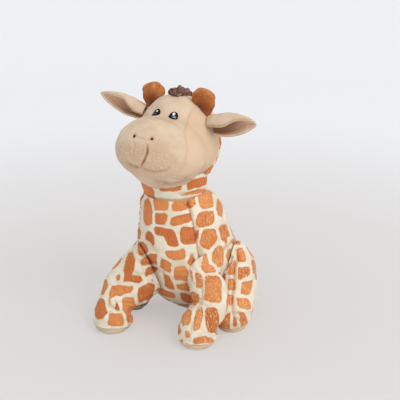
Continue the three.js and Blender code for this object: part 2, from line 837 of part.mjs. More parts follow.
function buildTail() {
  const back = Math.PI;
  const root = torsoPoint(back, tailRootHeight);
  const axis = torsoNormal(back, tailRootHeight);
  const start = root.clone().addScaledVector(axis, -2);
  const bend = root.clone().addScaledVector(axis, tailLength * 0.2);
  bend.z -= tailLength * 0.1;
  const end = bend.clone().add(new THREE.Vector3(0, tailLength * 0.16, -tailLength * 0.36));
  const across = new THREE.Vector3(1, 0, 0);
  const thick = [tailRadius * 1.3, tailRadius, tailRadius];
  const cord = {
    route: new THREE.CatmullRomCurve3([start, bend, end]),
    across,
    halfWidth: thick,
    halfDepth: thick,
  };
  const swept = sweptNeighbour(torsoClearance(), root, axis, [-tailSwing, tailSwing]);
  place('tail_cord', geometryOf(solid(stuffedForm(cord, 0, 10, 10)).subtract(swept)), finish.print);
  const tip = cord.route.getPoint(1);
  const down = cord.route.getTangent(1);
  const first = tip.clone().addScaledVector(down, gap);
  const last = first.clone().addScaledVector(down, tailTuftLength);
  const tuft = {
    route: new THREE.CatmullRomCurve3([first, first.clone().lerp(last, 0.5), last]),
    across,
    halfWidth: [tailTuftRadius * 0.6, tailTuftRadius, tailTuftRadius * 0.5],
    halfDepth: [tailTuftRadius * 0.6, tailTuftRadius, tailTuftRadius * 0.5],
    bluntness: 2.5,
  };
  place('tail_tuft', geometryOf(solid(stuffedForm(tuft, 0, 8, 10)).subtract(swept)), finish.mane);
  report('tail', root, axis);
}

buildTorso();
buildNeck();
buildHead();
buildMane();
buildHorns();
buildEars();
buildForelegs();
buildHindlegs();
buildTail();

export default toy;
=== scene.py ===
import itertools
import json
import logging
from dataclasses import dataclass
from enum import Enum
from typing import Callable, Optional, Sequence, Union

import bpy
import numpy as np
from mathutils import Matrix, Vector


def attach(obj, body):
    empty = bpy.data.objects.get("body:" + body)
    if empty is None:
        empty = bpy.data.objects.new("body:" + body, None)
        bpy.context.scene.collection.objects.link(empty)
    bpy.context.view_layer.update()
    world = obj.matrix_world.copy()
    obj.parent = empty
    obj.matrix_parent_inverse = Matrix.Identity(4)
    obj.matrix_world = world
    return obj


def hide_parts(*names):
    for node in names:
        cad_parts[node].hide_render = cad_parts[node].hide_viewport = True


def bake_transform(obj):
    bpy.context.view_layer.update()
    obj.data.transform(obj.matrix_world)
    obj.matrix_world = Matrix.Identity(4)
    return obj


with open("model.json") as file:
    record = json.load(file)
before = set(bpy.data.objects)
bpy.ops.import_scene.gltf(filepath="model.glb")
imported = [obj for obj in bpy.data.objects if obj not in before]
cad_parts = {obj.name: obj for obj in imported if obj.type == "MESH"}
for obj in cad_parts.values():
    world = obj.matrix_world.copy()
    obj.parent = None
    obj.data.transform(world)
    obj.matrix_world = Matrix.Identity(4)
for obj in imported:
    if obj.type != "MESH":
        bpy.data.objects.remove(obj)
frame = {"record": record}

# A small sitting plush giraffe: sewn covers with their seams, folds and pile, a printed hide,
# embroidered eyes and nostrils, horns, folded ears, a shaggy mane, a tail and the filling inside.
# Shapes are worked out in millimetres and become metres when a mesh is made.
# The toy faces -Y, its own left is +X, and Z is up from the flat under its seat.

logging.basicConfig(level=logging.INFO, format="%(message)s")
log = logging.getLogger("giraffe")

Array = np.ndarray
Thing = bpy.types.Object
Socket = bpy.types.NodeSocket
Numbers = tuple[float, ...]
Point = tuple[float, float, float]
MM = 0.001
UP = np.array([0.0, 0.0, 1.0])
LATTICE_PRIMES = (73856093, 19349663, 83492791)
SEED_PRIME = 2654435761
BACKWARDS = slice(None, None, -1)
HASH_PRIME = 1274126177


class Side(Enum):
    """The toy's own left and right, with the sign of X there."""

    LEFT = 1
    RIGHT = -1

    @property
    def label(self) -> str:
        """Lower-case name, as the nodes use it."""
        return self.name.lower()


# Noise, curves and grids


def lattice_noise(points: Array, cell: float, seed: int) -> Array:
    """Smooth value noise in space.

    Each corner of a cubic lattice has a number from an integer hash of its place, and a point takes
    the smoothstep-weighted mean of the eight corners round it.

    Args:
        points: places in mm, shape (..., 3).
        cell: edge of a lattice cube in mm.
        seed: picks another lattice.

    Returns:
        Values from -1 to 1, shape (...).
    """
    above_zero = 1000.0
    scaled = points / cell + above_zero
    base = np.floor(scaled).astype(np.int64)
    part = scaled - base
    part = part * part * (3 - 2 * part)
    total = np.zeros(points.shape[:-1])
    for corner in itertools.product((0, 1), repeat=3):
        key, weight = seed * SEED_PRIME, 1.0
        for axis, (step, prime) in enumerate(zip(corner, LATTICE_PRIMES)):
            key = key ^ ((base[..., axis] + step) * prime)
            weight = weight * (part[..., axis] if step else 1 - part[..., axis])
        key = (key ^ (key >> 13)) * HASH_PRIME & 0x7FFFFFFF
        total += (((key >> 7) & 0xFFFF) / 32767.5 - 1) * weight
    return total


def smooth_step(value: Array, low: float, high: float) -> Array:
    """Zero below low, one above high, and 3t^2 - 2t^3 between."""
    t = np.clip((value - low) / (high - low), 0, 1)
    return t * t * (3 - 2 * t)


def unit(vectors: Array) -> Array:
    """The vectors at length one."""
    return vectors / np.maximum(np.linalg.norm(vectors, axis=-1, keepdims=True), 1e-9)


def full_turn(count: int) -> Array:
    """Equal angles once round, from zero, in radians."""
    return np.linspace(0, 2 * np.pi, count, endpoint=False)


def downward(points: Array, level_rows: int = 1) -> Array:
    """How far each point of a grid lies down its column, in mm, below some rows at zero.

    Args:
        points: shape (rows, columns, 3); they start at the last of the rows at zero.
        level_rows: number of rows at zero.

    Returns:
        Distances with shape (level_rows + rows - 1, columns).
    """
    steps = np.linalg.norm(np.diff(points, axis=0), axis=-1)
    return np.concatenate([np.zeros((level_rows, points.shape[1])), np.cumsum(steps, axis=0)])


def blank(points: Array, names: Sequence[str] = ("shade",)) -> dict[str, Array]:
    """Attributes that are zero at every point of a grid."""
    return {name: np.zeros(points.shape[:2]) for name in names}


def rows_of(values: dict[str, Array], rows: slice) -> dict[str, Array]:
    """Some rows of each attribute, or all of them backwards."""
    return {name: value[rows] for name, value in values.items()}


def from_spot(places: Array, spot: Numbers) -> Array:
    """Squared distance from an oval spot, one on its edge.

    Args:
        places: shape (..., 2), in pixels or mm.
        spot: the spot's middle, then its half width and half height.

    Returns:
        Values with shape (...).
    """
    return ((places[..., 0] - spot[0]) / spot[2]) ** 2 + ((places[..., 1] - spot[1]) / spot[3]) ** 2


def spline_sizes(values: Sequence[float], t: Array) -> Array:
    """Uniform Catmull-Rom curve through values at equal steps.

    Args:
        values: the known values.
        t: places on the curve, from 0 at the first value to 1 at the last.

    Returns:
        The curve's values at t.
    """
    known = np.asarray(values, float)
    last = len(known) - 1
    at = np.clip(t, 0, 1) * last
    i = np.clip(np.floor(at).astype(int), 0, last - 1)
    w = at - i
    a, b = known[np.maximum(i - 1, 0)], known[i]
    c, d = known[i + 1], known[np.minimum(i + 2, last)]
    v0, v1 = (c - a) / 2, (d - b) / 2
    return (2 * b - 2 * c + v0 + v1) * w**3 + (-3 * b + 3 * c - 2 * v0 - v1) * w**2 + v0 * w + b


@dataclass(frozen=True)
class Route:
    """Centripetal Catmull-Rom curve through a few points.

    Attributes:
        knots: the points in mm.
    """

    knots: Union[Array, tuple[Point, ...]]

    def points(self, t: Array) -> Array:
        """Points on the curve.

        Each span between two knots is the cubic Hermite curve whose end tangents are the
        non-uniform ones of knot spacings equal to the square root of the knots' distances.

        Args:
            t: places from 0 to 1, with equal shares for the spans.

        Returns:
            Points in mm, shape (len(t), 3).
        """
        known = np.asarray(self.knots, float)
        known = np.vstack([2 * known[0] - known[1], known, 2 * known[-1] - known[-2]])
        spans = len(self.knots) - 1
        at = np.clip(t, 0, 1) * spans
        i = np.clip(np.floor(at).astype(int), 0, spans - 1)
        w = (at - i)[:, None]
        p0, p1, p2, p3 = (known[i + k] for k in range(4))
        d0, d1, d2 = (np.sqrt(np.linalg.norm(b - a, axis=1))[:, None]
                      for a, b in ((p0, p1), (p1, p2), (p2, p3)))
        m1 = ((p1 - p0) / d0 - (p2 - p0) / (d0 + d1) + (p2 - p1) / d1) * d1
        m2 = ((p2 - p1) / d1 - (p3 - p1) / (d1 + d2) + (p3 - p2) / d2) * d1
        return (2 * p1 - 2 * p2 + m1 + m2) * w**3 + (-3 * p1 + 3 * p2 - 2 * m1 - m2) * w**2 + m1 * w + p1

    def tangents(self, t: Array) -> Array:
        """Unit tangents at t, by central differences."""
        small = 1e-4
        return unit(self.points(np.minimum(t + small, 1)) - self.points(np.maximum(t - small, 0)))


def grid_normals(points: Array, closed: bool) -> Array:
    """Unit normals of a grid of points: the cross product of its two central differences.

    Args:
        points: shape (rows, columns, 3); columns run round the form, rows along it.
        closed: whether the last column meets the first.

    Returns:
        Normals with the shape of points.
    """
    along = np.gradient(points, axis=0)
    if closed:
        around = (np.roll(points, -1, axis=1) - np.roll(points, 1, axis=1)) / 2
    else:
        around = np.gradient(points, axis=1)
    return unit(np.cross(around, along))


def segment_distance(points: Array, start: Array, end: Array) -> tuple[Array, Array]:
    """How near points lie to a straight segment.

    Args:
        points: shape (..., n).
        start: its first end, shape (n,).
        end: its other end.

    Returns:
        The distances, and the share along the segment of the nearest places.
    """
    span = end - start
    t = np.clip(((points - start) @ span) / max(span @ span, 1e-9), 0, 1)
    nearest = start + t[..., None] * span
    return np.linalg.norm(points - nearest, axis=-1), t


# Meshes


def quad_faces(rows: int, columns: int, closed: bool) -> Array:
    """Quads of a grid of points numbered row by row, with the outside on the side of its normals.

    Args:
        rows: rows of the grid.
        columns: its columns.
        closed: whether the last column meets the first.

    Returns:
        Indices with shape (quads, 4).
    """
    r = np.arange(rows - 1)[:, None]
    c = np.arange(columns if closed else columns - 1)[None, :]
    a = r * columns + c
    b = r * columns + (c + 1) % columns
    return np.stack([a, b, b + columns, a + columns], axis=-1).reshape(-1, 4)


def mesh_object(name: str, points: Array, quads: Array, triangles: Optional[Array] = None,
                values: Optional[dict[str, Array]] = None) -> Thing:
    """A linked, smooth-shaded mesh object at the origin.

    Args:
        name: the object's name.
        points: shape (n, 3), in mm.
        quads: shape (m, 4), indices of points.
        triangles: shape (k, 3), indices of points.
        values: float attributes for the points, by name.

    Returns:
        The object.
    """
    triangles = np.zeros((0, 3), int) if triangles is None else triangles
    mesh = bpy.data.meshes.new(name)
    mesh.vertices.add(len(points))
    mesh.vertices.foreach_set("co", (points * MM).astype(np.float32).ravel())
    loops = np.concatenate([quads.ravel(), triangles.ravel()])
    mesh.loops.add(len(loops))
    mesh.loops.foreach_set("vertex_index", loops.astype(np.int32))
    sizes = np.concatenate([np.full(len(quads), 4), np.full(len(triangles), 3)])
    starts = np.concatenate([[0], np.cumsum(sizes)[:-1]])
    mesh.polygons.add(len(sizes))
    mesh.polygons.foreach_set("loop_start", starts.astype(np.int32))
    mesh.polygons.foreach_set("loop_total", sizes.astype(np.int32))
    mesh.polygons.foreach_set("use_smooth", np.full(len(sizes), True))
    mesh.update(calc_edges=True)
    for key, value in (values or {}).items():
        attribute = mesh.attributes.new(key, "FLOAT", "POINT")
        attribute.data.foreach_set("value", np.asarray(value, np.float32).ravel())
    thing = bpy.data.objects.new(name, mesh)
    bpy.context.scene.collection.objects.link(thing)
    return thing


def fan(columns: int, first_index: int, centre: int, towards_end: bool) -> Array:
    """Triangles from a ring of points to a centre, facing along the rows or back against them.

    Args:
        columns: points in the ring.
        first_index: index of its first point.
        centre: index of the centre.
        towards_end: whether they face along the rows.

    Returns:
        Indices with shape (columns, 3).
    """
    c = np.arange(columns) + first_index
    d = (np.arange(columns) + 1) % columns + first_index
    middle = np.full(columns, centre)
    return np.stack([middle, c, d] if towards_end else [middle, d, c], axis=-1)


def closed_form(name: str, points: Array, values: Optional[dict[str, Array]] = None) -> Thing:
    """A closed form from rings of points, each end drawn together to the middle of its last ring.

    Args:
        name: the object's name.
        points: shape (rows, columns, 3), in mm.
        values: float attributes with the shape (rows, columns).

    Returns:
        The object.
    """
    rows, columns = points.shape[:2]
    n = rows * columns
    flat = np.vstack([points.reshape(-1, 3), points[0].mean(0), points[-1].mean(0)])
    ends = np.vstack([fan(columns, 0, n, False), fan(columns, n - columns, n + 1, True)])
    extra = {k: np.concatenate([v.ravel(), [v[0].mean(), v[-1].mean()]]) for k, v in (values or {}).items()}
    return mesh_object(name, flat, quad_faces(rows, columns, True), ends, extra)


def shell(name: str, outer: Array, inner: Array, values: dict[str, Array], closed: bool,
          poles: tuple[bool, bool] = (False, False)) -> Thing:
    """A closed wall of cloth between an outer and an inner grid.

    The rims are quads between the two layers. Where the columns go right round, an end may be a pole,
    and each layer then has a fan to the middle of its last ring instead of a rim.

    Args:
        name: the object's name.
        outer: shape (rows, columns, 3), in mm.
        inner: the same shape, one cloth's thickness inside.
        values: float attributes with the shape (rows, columns), for both layers.
        closed: whether the last column meets the first.
        poles: whether the first and last rows close to a point.

    Returns:
        The object.
    """
    rows, columns = outer.shape[:2]
    n = rows * columns
    quads = quad_faces(rows, columns, closed)
    faces = [quads, quads[:, ::-1] + n]
    triangles = []
    points = [outer.reshape(-1, 3), inner.reshape(-1, 3)]
    extra = {k: [v.ravel(), v.ravel()] for k, v in values.items()}
    c = np.arange(columns if closed else columns - 1)
    d = (c + 1) % columns
    count = 2 * n
    for row, pole, last in ((0, poles[0], False), (rows - 1, poles[1], True)):
        base = row * columns
        if pole:
            points.append(np.vstack([outer[row].mean(0), inner[row].mean(0)]))
            for key, value in values.items():
                extra[key].append(np.full(2, value[row].mean()))
            triangles.append(fan(columns, base, count, last))
            triangles.append(fan(columns, base + n, count + 1, not last))
            count += 2
        elif last:
            faces.append(np.stack([base + c, base + d, base + d + n, base + c + n], axis=-1))
        else:
            faces.append(np.stack([base + d, base + c, base + c + n, base + d + n], axis=-1))
    if not closed:
        a = np.arange(rows - 1) * columns
        b = a + columns
        faces.append(np.stack([a, b, b + n, a + n], axis=-1))
        a, b = a + columns - 1, b + columns - 1
        faces.append(np.stack([b, a, a + n, b + n], axis=-1))
    merged = {k: np.concatenate(v) for k, v in extra.items()}
    caps = np.vstack(triangles) if triangles else None
    return mesh_object(name, np.vstack(points), np.vstack(faces), caps, merged)


# The photograph's camera


@dataclass(frozen=True)
class PhotoCamera:
    """The camera that the photograph was taken with, as far as its perspective tells.

    Attributes:
        azimuth: degrees round the toy, from its front towards its left.
        elevation: degrees above level.
        distance: mm from the target.
        target: the point in mm that the optical axis passes through.
        focal: focal length in pixels of the 400-pixel frame.
        axis_x: pixel column of the optical axis.
        axis_y: pixel row of the optical axis.
        frame: width and height of the frame in pixels.
        sensor: sensor width in mm.
    """

    azimuth: float = 30.0
    elevation: float = 18.8
    distance: float = 699.0
    target: Point = (0.0, -35.0, 90.0)
    focal: float = 917.0
    axis_x: float = 181.4
    axis_y: float = 208.7
    frame: float = 400.0
    sensor: float = 36.0

    def axes(self) -> tuple[Array, Array, Array]:
        """Unit vectors to the right, upwards and back towards the camera."""
        a, e = np.radians(self.azimuth), np.radians(self.elevation)
        back = np.array([np.sin(a) * np.cos(e), -np.cos(a) * np.cos(e), np.sin(e)])
        right = np.array([np.cos(a), np.sin(a), 0.0])
        return right, np.cross(back, right), back

    def place(self) -> Array:
        """Where it stands, in mm."""
        return np.array(self.target) + self.distance * self.axes()[2]

    def project(self, points: Array) -> Array:
        """Pixel places of points in mm: the usual pinhole division by depth.

        Args:
            points: shape (..., 3).

        Returns:
            Columns and rows, shape (..., 2).
        """
        right, up, back = self.axes()
        away = points - self.place()
        depth = -(away @ back)
        x = self.axis_x + self.focal * (away @ right) / depth
        y = self.axis_y - self.focal * (away @ up) / depth
        return np.stack([x, y], axis=-1)

    def facing(self, points: Array, normals: Array) -> Array:
        """Cosine between the normals and the way to the camera."""
        return np.sum(normals * unit(self.place() - points), axis=-1)

    def make(self) -> None:
        """Creates the Blender camera and makes it the scene's."""
        data = bpy.data.cameras.new("photo_camera")
        data.sensor_width = self.sensor
        data.lens = self.sensor * self.focal / self.frame
        data.shift_x = (self.frame / 2 - self.axis_x) / self.frame
        data.shift_y = (self.axis_y - self.frame / 2) / self.frame
        data.clip_start, data.clip_end = 0.01, 20.0
        camera = bpy.data.objects.new("photo_camera", data)
        bpy.context.scene.collection.objects.link(camera)
        camera.rotation_mode = "QUATERNION"
        camera.location = Vector(self.place() * MM)
        camera.rotation_quaternion = Vector(-self.axes()[2]).to_track_quat("-Z", "Y")
        bpy.context.scene.camera = camera


CAMERA = PhotoCamera()
PIXELS_PER_MM = CAMERA.focal / CAMERA.distance


# Relief of a stuffed cover


@dataclass(frozen=True)
class Crease:
    """A fold or stitched line on a cover, followed through pixels of the photograph.

    Attributes:
        x: pixel columns of its corners, in order.
        y: pixel rows of its corners.
        depth: how deep it is, in mm; below zero it is a ridge.
        width: its half width in mm.
    """

    x: Numbers
    y: Numbers
    depth: float
    width: float


LUMP_CELLS = (17.0, 6.5, 2.6)
SEAM_WIDTH = 1.15
STITCH, STITCH_WIDTH = 3.1, 1.6
PUCKER, PUCKER_WIDTH = 7.3, 2.6


class Skin:
    """A grid of cover while it is being worked: its smooth form, and the relief that it gets.

    Attributes:
        points: the smooth form in mm, shape (rows, columns, 3).
        normals: its outward normals.
        relief: height over the smooth form in mm.
        values: float attributes of the points: print, tone, nap (the pile's streaks and their painted sheen),
            shade (painted shade) and others.
    """

    def __init__(self, points: Array, closed: bool) -> None:
        """Takes the smooth form and works out its normals.

        Args:
            points: shape (rows, columns, 3), in mm.
            closed: whether the columns go right round.
        """
        self.points = points
        self.normals = grid_normals(points, closed)
        self.relief = np.zeros(points.shape[:2])
        self.values = blank(points)
        self.pixels = CAMERA.project(points)
        self.facing = CAMERA.facing(points, self.normals)

    def lumps(self, seed: int, large: float, small: float) -> None:
        """Uneven filling: noise of 17 mm lumps, and of 6.5 and 2.6 mm ones in the cloth.

        Args:
            seed: picks the noise.
            large: height of the large lumps in mm.
            small: height of the small ones in mm.
        """
        for step, (cell, height) in enumerate(zip(LUMP_CELLS, (large, small, 0.35 * small))):
            self.relief += height * lattice_noise(self.points, cell, seed + step)

    def groove(self, distance: Array, depth: float, width: float, weight: Union[float, Array] = 1.0) -> None:
        """A valley -depth * exp(-(d/w)^2) with soft shoulders a quarter as high beside it.

        Args:
            distance: mm from its line, for each point.
            depth: mm.
            width: half width in mm.
            weight: share of it that each point gets.
        """
        valley = np.exp(-((distance / width) ** 2))
        shoulder = np.exp(-(((distance - 2.6 * width) / (1.4 * width)) ** 2))
        self.relief += weight * depth * (0.25 * shoulder - valley)
        # Painted shade down in the valley, by the attribute shade.
        self.values["shade"] += weight * min(abs(depth), 1.6) * 0.5 * valley

    def seam(self, distance: Array, along: Array, depth: float) -> None:
        """A sewn seam: a groove, drawn in a little more at each stitch, with puckers beside it.

        Args:
            distance: mm from the seam.
            along: mm along it, for the stitches.
            depth: mm.
        """
        self.groove(distance, depth, SEAM_WIDTH)
        stitch = np.cos(2 * np.pi * along / STITCH) * np.exp(-((distance / STITCH_WIDTH) ** 2))
        pucker = np.cos(2 * np.pi * along / PUCKER + 1.0) * np.exp(-(((distance - 2.4) / PUCKER_WIDTH) ** 2))
        self.relief += 0.22 * stitch + 0.28 * pucker

    def crease(self, line: Crease) -> None:
        """Presses a crease into the cover, where it faces the camera.

        The distance is taken in the photograph's plane, and is held back where the cover lies far
        behind the place that the line was read at.

        Args:
            line: the crease.
        """
        corners = np.stack([line.x, line.y], axis=-1).astype(float)
        nearest = np.full(self.relief.shape, 1e9)
        share = np.zeros(self.relief.shape)
        total = max(len(corners) - 1, 1)
        for i in range(len(corners) - 1):
            gap, t = segment_distance(self.pixels, corners[i], corners[i + 1])
            closer = gap < nearest
            nearest = np.where(closer, gap, nearest)
            share = np.where(closer, (i + t) / total, share)
        ends = np.clip(4.2 * np.minimum(share, 1 - share), 0, 1) ** 0.6
        seen = smooth_step(self.facing, 0.0, 0.25)
        self.groove(nearest / PIXELS_PER_MM, line.depth, line.width, ends * seen)

    def outer(self) -> Array:
        """The finished outside."""
        return self.points + self.normals * self.relief[..., None]

    def inner(self, cloth: float) -> Array:
        """The inside of the cloth, one thickness in."""
        return self.points + self.normals * (self.relief[..., None] - cloth)


# Cloth that the filling presses out


def resampled(values: Array, at: Array, wrap: bool) -> Array:
    """Values along the first axis at fractional places, by a Catmull-Rom cubic.

    Args:
        values: the known values, evenly spaced.
        at: places, counted in values.
        wrap: whether the last value meets the first.

    Returns:
        Values with len(at) rows.
    """
    count = len(values)
    low = np.floor(at).astype(int) if wrap else np.clip(np.floor(at).astype(int), 0, count - 2)
    w = (at - low).reshape((-1,) + (1,) * (values.ndim - 1))
    a, b, c, d = (values[(low + k) % count if wrap else np.clip(low + k, 0, count - 1)]
                  for k in (-1, 0, 1, 2))
    return b + 0.5 * w * ((c - a) + w * ((2 * a - 5 * b + 4 * c - d) + w * (3 * (b - c) + d - a)))


@dataclass(frozen=True)
class Stuffing:
    """Cloth simulation of a cover that is cut a little too large, held at its seams and pressed out.

    It runs on a coarse copy of the cover's grid, enlarged so that the solver's steps suit it, and what
    each point has moved is carried back to the fine grid.

    Attributes:
        pressure: of the filling.
        slack: share by which the cloth is cut too large.
        frames: steps of the simulation.
        coarse: fine rows or columns to one coarse one.
        enlarged: scale of the copy.
        bending: stiffness of the plush against folds.
        cap: mm that a point may move.
    """

    pressure: float = 8.0
    slack: float = 0.035
    frames: int = 20
    coarse: int = 3
    enlarged: float = 10.0
    bending: float = 0.5
    cap: float = 2.4

    def settled(self, points: Array, closed: bool, held: Array) -> Array:
        """The cover's points after the simulation.

        Args:
            points: the fine grid in mm, shape (rows, columns, 3).
            closed: whether its columns go right round.
            held: where it is above a half, the cloth is held in place; shape (rows, columns).

        Returns:
            The moved points.
        """
        rows, columns = points.shape[:2]
        few_rows, few_columns = rows // self.coarse, columns // self.coarse
        down = np.linspace(0, rows - 1, few_rows)
        back_down = np.arange(rows) * (few_rows - 1) / (rows - 1)
        if closed:
            round_ = np.arange(few_columns) * columns / few_columns
            back_round = np.arange(columns) * (few_columns / columns)
        else:
            round_ = np.linspace(0, columns - 1, few_columns)
            back_round = np.arange(columns) * ((few_columns - 1) / (columns - 1))

        def carried(grid: Array, rows_at: Array, columns_at: Array) -> Array:
            """The grid at fractional rows and columns."""
            across = resampled(grid, rows_at, False).swapaxes(0, 1)
            return resampled(across, columns_at, closed).swapaxes(0, 1)

        start = carried(points, down, round_)
        piece = mesh_object("cloth_trial", start.reshape(-1, 3) * self.enlarged,
                            quad_faces(few_rows, few_columns, closed))
        pins = piece.vertex_groups.new(name="held")
        pinned = carried(held.astype(float), down, round_).ravel() > 0.5
        pins.add(np.flatnonzero(pinned).tolist(), 1.0, "REPLACE")
        cloth = piece.modifiers.new("cloth", "CLOTH")
        cloth.settings.vertex_group_mass = pins.name
        cloth.settings.use_pressure = True
        cloth.settings.uniform_pressure_force = self.pressure
        cloth.settings.shrink_min = -self.slack
        cloth.settings.bending_stiffness = self.bending
        cloth.settings.effector_weights.gravity = 0.0
        cloth.collision_settings.use_collision = False
        cloth.point_cache.frame_start, cloth.point_cache.frame_end = 1, self.frames
        for step in range(1, self.frames + 1):
            bpy.context.scene.frame_set(step)
        done = piece.evaluated_get(bpy.context.evaluated_depsgraph_get()).data
        places = np.zeros(start.size, np.float32)
        done.vertices.foreach_get("co", places)
        bpy.data.objects.remove(piece)
        bpy.context.scene.frame_set(1)
        moved = places.reshape(start.shape) / (MM * self.enlarged) - start
        length = np.linalg.norm(moved, axis=-1, keepdims=True)
        moved *= self.cap * np.tanh(length / self.cap) / np.maximum(length, 1e-6)
        log.info("cloth of %d points moved up to %.2f mm", len(places) // 3, float(length.max()))
        return points + carried(moved, back_down, back_round)


# The printed hide


@dataclass(frozen=True)
class Patch:
    """One patch of the print, read off the photograph.

    Attributes:
        where: what it lies by, in plain words.
        left: its leftmost pixel column.
        top: its topmost pixel row.
        right: its rightmost pixel column.
        bottom: its lowest pixel row.
        lean: how many pixels its top lies further right than its bottom.
        rise: how many pixels its right end lies higher than its left.
        joined: whether it is one with the patch before it.
    """

    where: str
    left: float
    top: float
    right: float
    bottom: float
    lean: float = 0.0
    rise: float = 0.0
    joined: bool = False


@dataclass(frozen=True)
class SpottedPrint:
    """Giraffe print: listed patches where the photograph shows them, and grown ones elsewhere.

    Attributes:
        spacing: mm between the middles of grown patches.
        reach: mm from a grown patch's middle to its furthest edge.
        band: mm of cream between two patches.
        spread: mm that a listed patch grows where no other is near.
        squareness: power of the super-ellipse that a patch starts from.
        ragged: mm that its outline wanders.
        throws: how many middles are tried for the grown patches.
    """

    spacing: float = 12.0
    reach: float = 7.2
    band: float = 2.0
    spread: float = 1.0
    squareness: float = 3.4
    ragged: float = 0.42
    throws: int = 2600

    def placed(self, skin: Skin, patch: Patch) -> Array:
        """How far inside a listed patch each point of the skin lies, in mm, below zero outside.

        A super-ellipse is sheared to the patch's box in the photograph's plane; the point of the skin
        that shows at the box's middle limits how far the patch goes round an edge.

        Args:
            skin: the cover.
            patch: the patch.

        Returns:
            Values with the skin's shape.
        """
        middle = np.array([patch.left + patch.right, patch.top + patch.bottom]) / 2
        half = np.array([patch.right - patch.left, patch.bottom - patch.top]) / 2
        offset = skin.pixels - middle
        apart = np.linalg.norm(offset, axis=-1) + 40.0 * (skin.facing < 0.08)
        pick = np.unravel_index(np.argmin(apart), apart.shape)
        own = half - np.array([abs(patch.lean), abs(patch.rise)]) / 2
        x = (offset[..., 0] + patch.lean * offset[..., 1] / (2 * half[1])) / own[0]
        y = (offset[..., 1] + patch.rise * offset[..., 0] / (2 * half[0])) / own[1]
        rho = (np.abs(x) ** self.squareness + np.abs(y) ** self.squareness) ** (1 / self.squareness)
        inside = (1 - rho) * own.min() / PIXELS_PER_MM
        away = np.linalg.norm(skin.points - skin.points[pick], axis=-1)
        round_edge = 1.3 * np.hypot(*half) / PIXELS_PER_MM / max(float(skin.facing[pick]), 0.62)
        return np.minimum(inside, round_edge - away)

    def grown(self, skin: Skin, placed: Array, seed: int) -> Array:
        """The same measure for patches that the photograph doesn't show.

        Middles are thrown at random on the skin, and one too near another, or on cloth that the
        photograph shows, is left out. Each patch then fills its share of the cloth up to a band
        halfway to its neighbour: (second nearest - nearest) / 2.

        Args:
            skin: the cover.
            placed: the measure of the listed patches.
            seed: picks the random middles.

        Returns:
            Values with the skin's shape.
        """
        rng = np.random.default_rng(seed)
        flat = skin.points.reshape(-1, 3)
        unseen = (skin.facing < 0.42) | (placed < -7.5)
        open_to = (unseen & (placed < -(self.band + 2.2))).ravel()
        candidates = np.flatnonzero(open_to)
        nearest = np.full(len(flat), 1e3)
        second = np.full(len(flat), 1e3)
        label = np.zeros(len(flat))
        if len(candidates):
            for pick in rng.choice(candidates, self.throws):
                if nearest[pick] < self.spacing:
                    continue
                away = np.linalg.norm((flat - flat[pick]) * [1.0, 1.0, 0.92], axis=-1)
                closer = away < nearest
                second = np.where(closer, nearest, np.minimum(second, away))
                nearest = np.where(closer, away, nearest)
                label = np.where(closer, rng.random(), label)
        reach = self.reach + 2.4 * (label - 0.5)
        inside = np.minimum((second - nearest) / 2 - self.band / 2, reach - nearest).reshape(placed.shape)
        return np.minimum(inside, -placed - self.band)

    def paint(self, skin: Skin, patches: Sequence[Patch], seed: int, nap: float) -> None:
        """Stores the print on the skin, as the attributes print, tone and nap, which also carries painted
        sheen.

        A listed patch grows by the spread, but only up to half a band from the line where it is as far inside
        its neighbour: (first - second - band) / 2.

        Args:
            skin: the cover.
            patches: the listed patches.
            seed: picks the grown ones and the outlines' wander.
            nap: how much the pile's streaks and their painted sheen show on it, from 0 to 1.
        """
        whole: list[Array] = []
        shades: list[float] = []
        for patch in patches:
            inside = self.placed(skin, patch)
            if patch.joined:
                whole[-1] = np.maximum(whole[-1], inside)
            else:
                whole.append(inside)
                shades.append((7.3 * patch.left + 5.1 * patch.top) % 17 / 16)
        best = np.full(skin.relief.shape, -1e3)
        second, tone = best.copy(), np.full(skin.relief.shape, 0.5)
        for shade, inside in zip(shades, whole):
            closer = inside > best
            tone = np.where(closer & (inside > -3.0), shade, tone)
            second = np.where(closer, best, np.maximum(second, inside))
            best = np.where(closer, inside, best)
        placed = np.minimum(best + self.spread, (best - second - self.band) / 2)
        grown = self.grown(skin, placed, seed)
        wander = lattice_noise(skin.points, 4.6, seed + 5) + 0.5 * lattice_noise(skin.points, 1.9, seed + 6)
        skin.values["print"] = np.maximum(placed, grown) + self.ragged * wander
        skin.values["tone"] = tone
        skin.values["nap"] = np.full(skin.relief.shape, nap)


PRINT = SpottedPrint()


def patches(*rows: tuple) -> tuple[Patch, ...]:
    """The patches of a table, whose rows hold a patch's values in order."""
    return tuple(Patch(*row) for row in rows)


BELLY_PATCHES = patches(
    ("below the chin, middle", 152.4, 198, 168.7, 211, -2),
    ("below the chin, left of it", 172.4, 198.6, 190.8, 210.8, 4, 3),
    ("collar, by the side seam", 185.5, 195, 193, 202, 0, 2),
    ("breast, right edge", 144, 202.6, 152.6, 226.3),
    ("breast, small square", 155, 212.6, 167, 223.7),
    ("breast, slanted", 170.8, 213.7, 191.3, 225.4, 3, 4.5),
    ("middle, upper end of the diagonal", 154, 226.8, 171, 236.5, -4, -3),
    ("middle, lower end of the diagonal", 162.5, 228.8, 178.5, 246.3, -6, -1, True),
    ("middle, by the side seam", 181.3, 228, 195.5, 243.7),
    ("right shoulder", 144.5, 230, 154, 243, -3),
    ("belly, wide", 167.6, 249, 187, 259.5, 0, 1),
    ("belly, by the left foreleg", 187.6, 253, 194.5, 267.4, -1.5),
    ("belly, right of the middle", 158.6, 258.4, 172.6, 273, -4, -2),
    ("belly, square", 172.4, 266.3, 190.3, 282, -2, 2),
    ("low, long diagonal", 161.3, 273.7, 175, 290, -6, -2),
    ("low, small", 178, 283.7, 189.7, 290, -1),
    ("lap, right", 160.5, 288.5, 177, 298.5, -2, -4),
    ("lap, left", 176.5, 291, 191, 302.5, -3, -3),
    ("by the right foreleg", 152, 274, 160.8, 283.5, -3, -2),
)
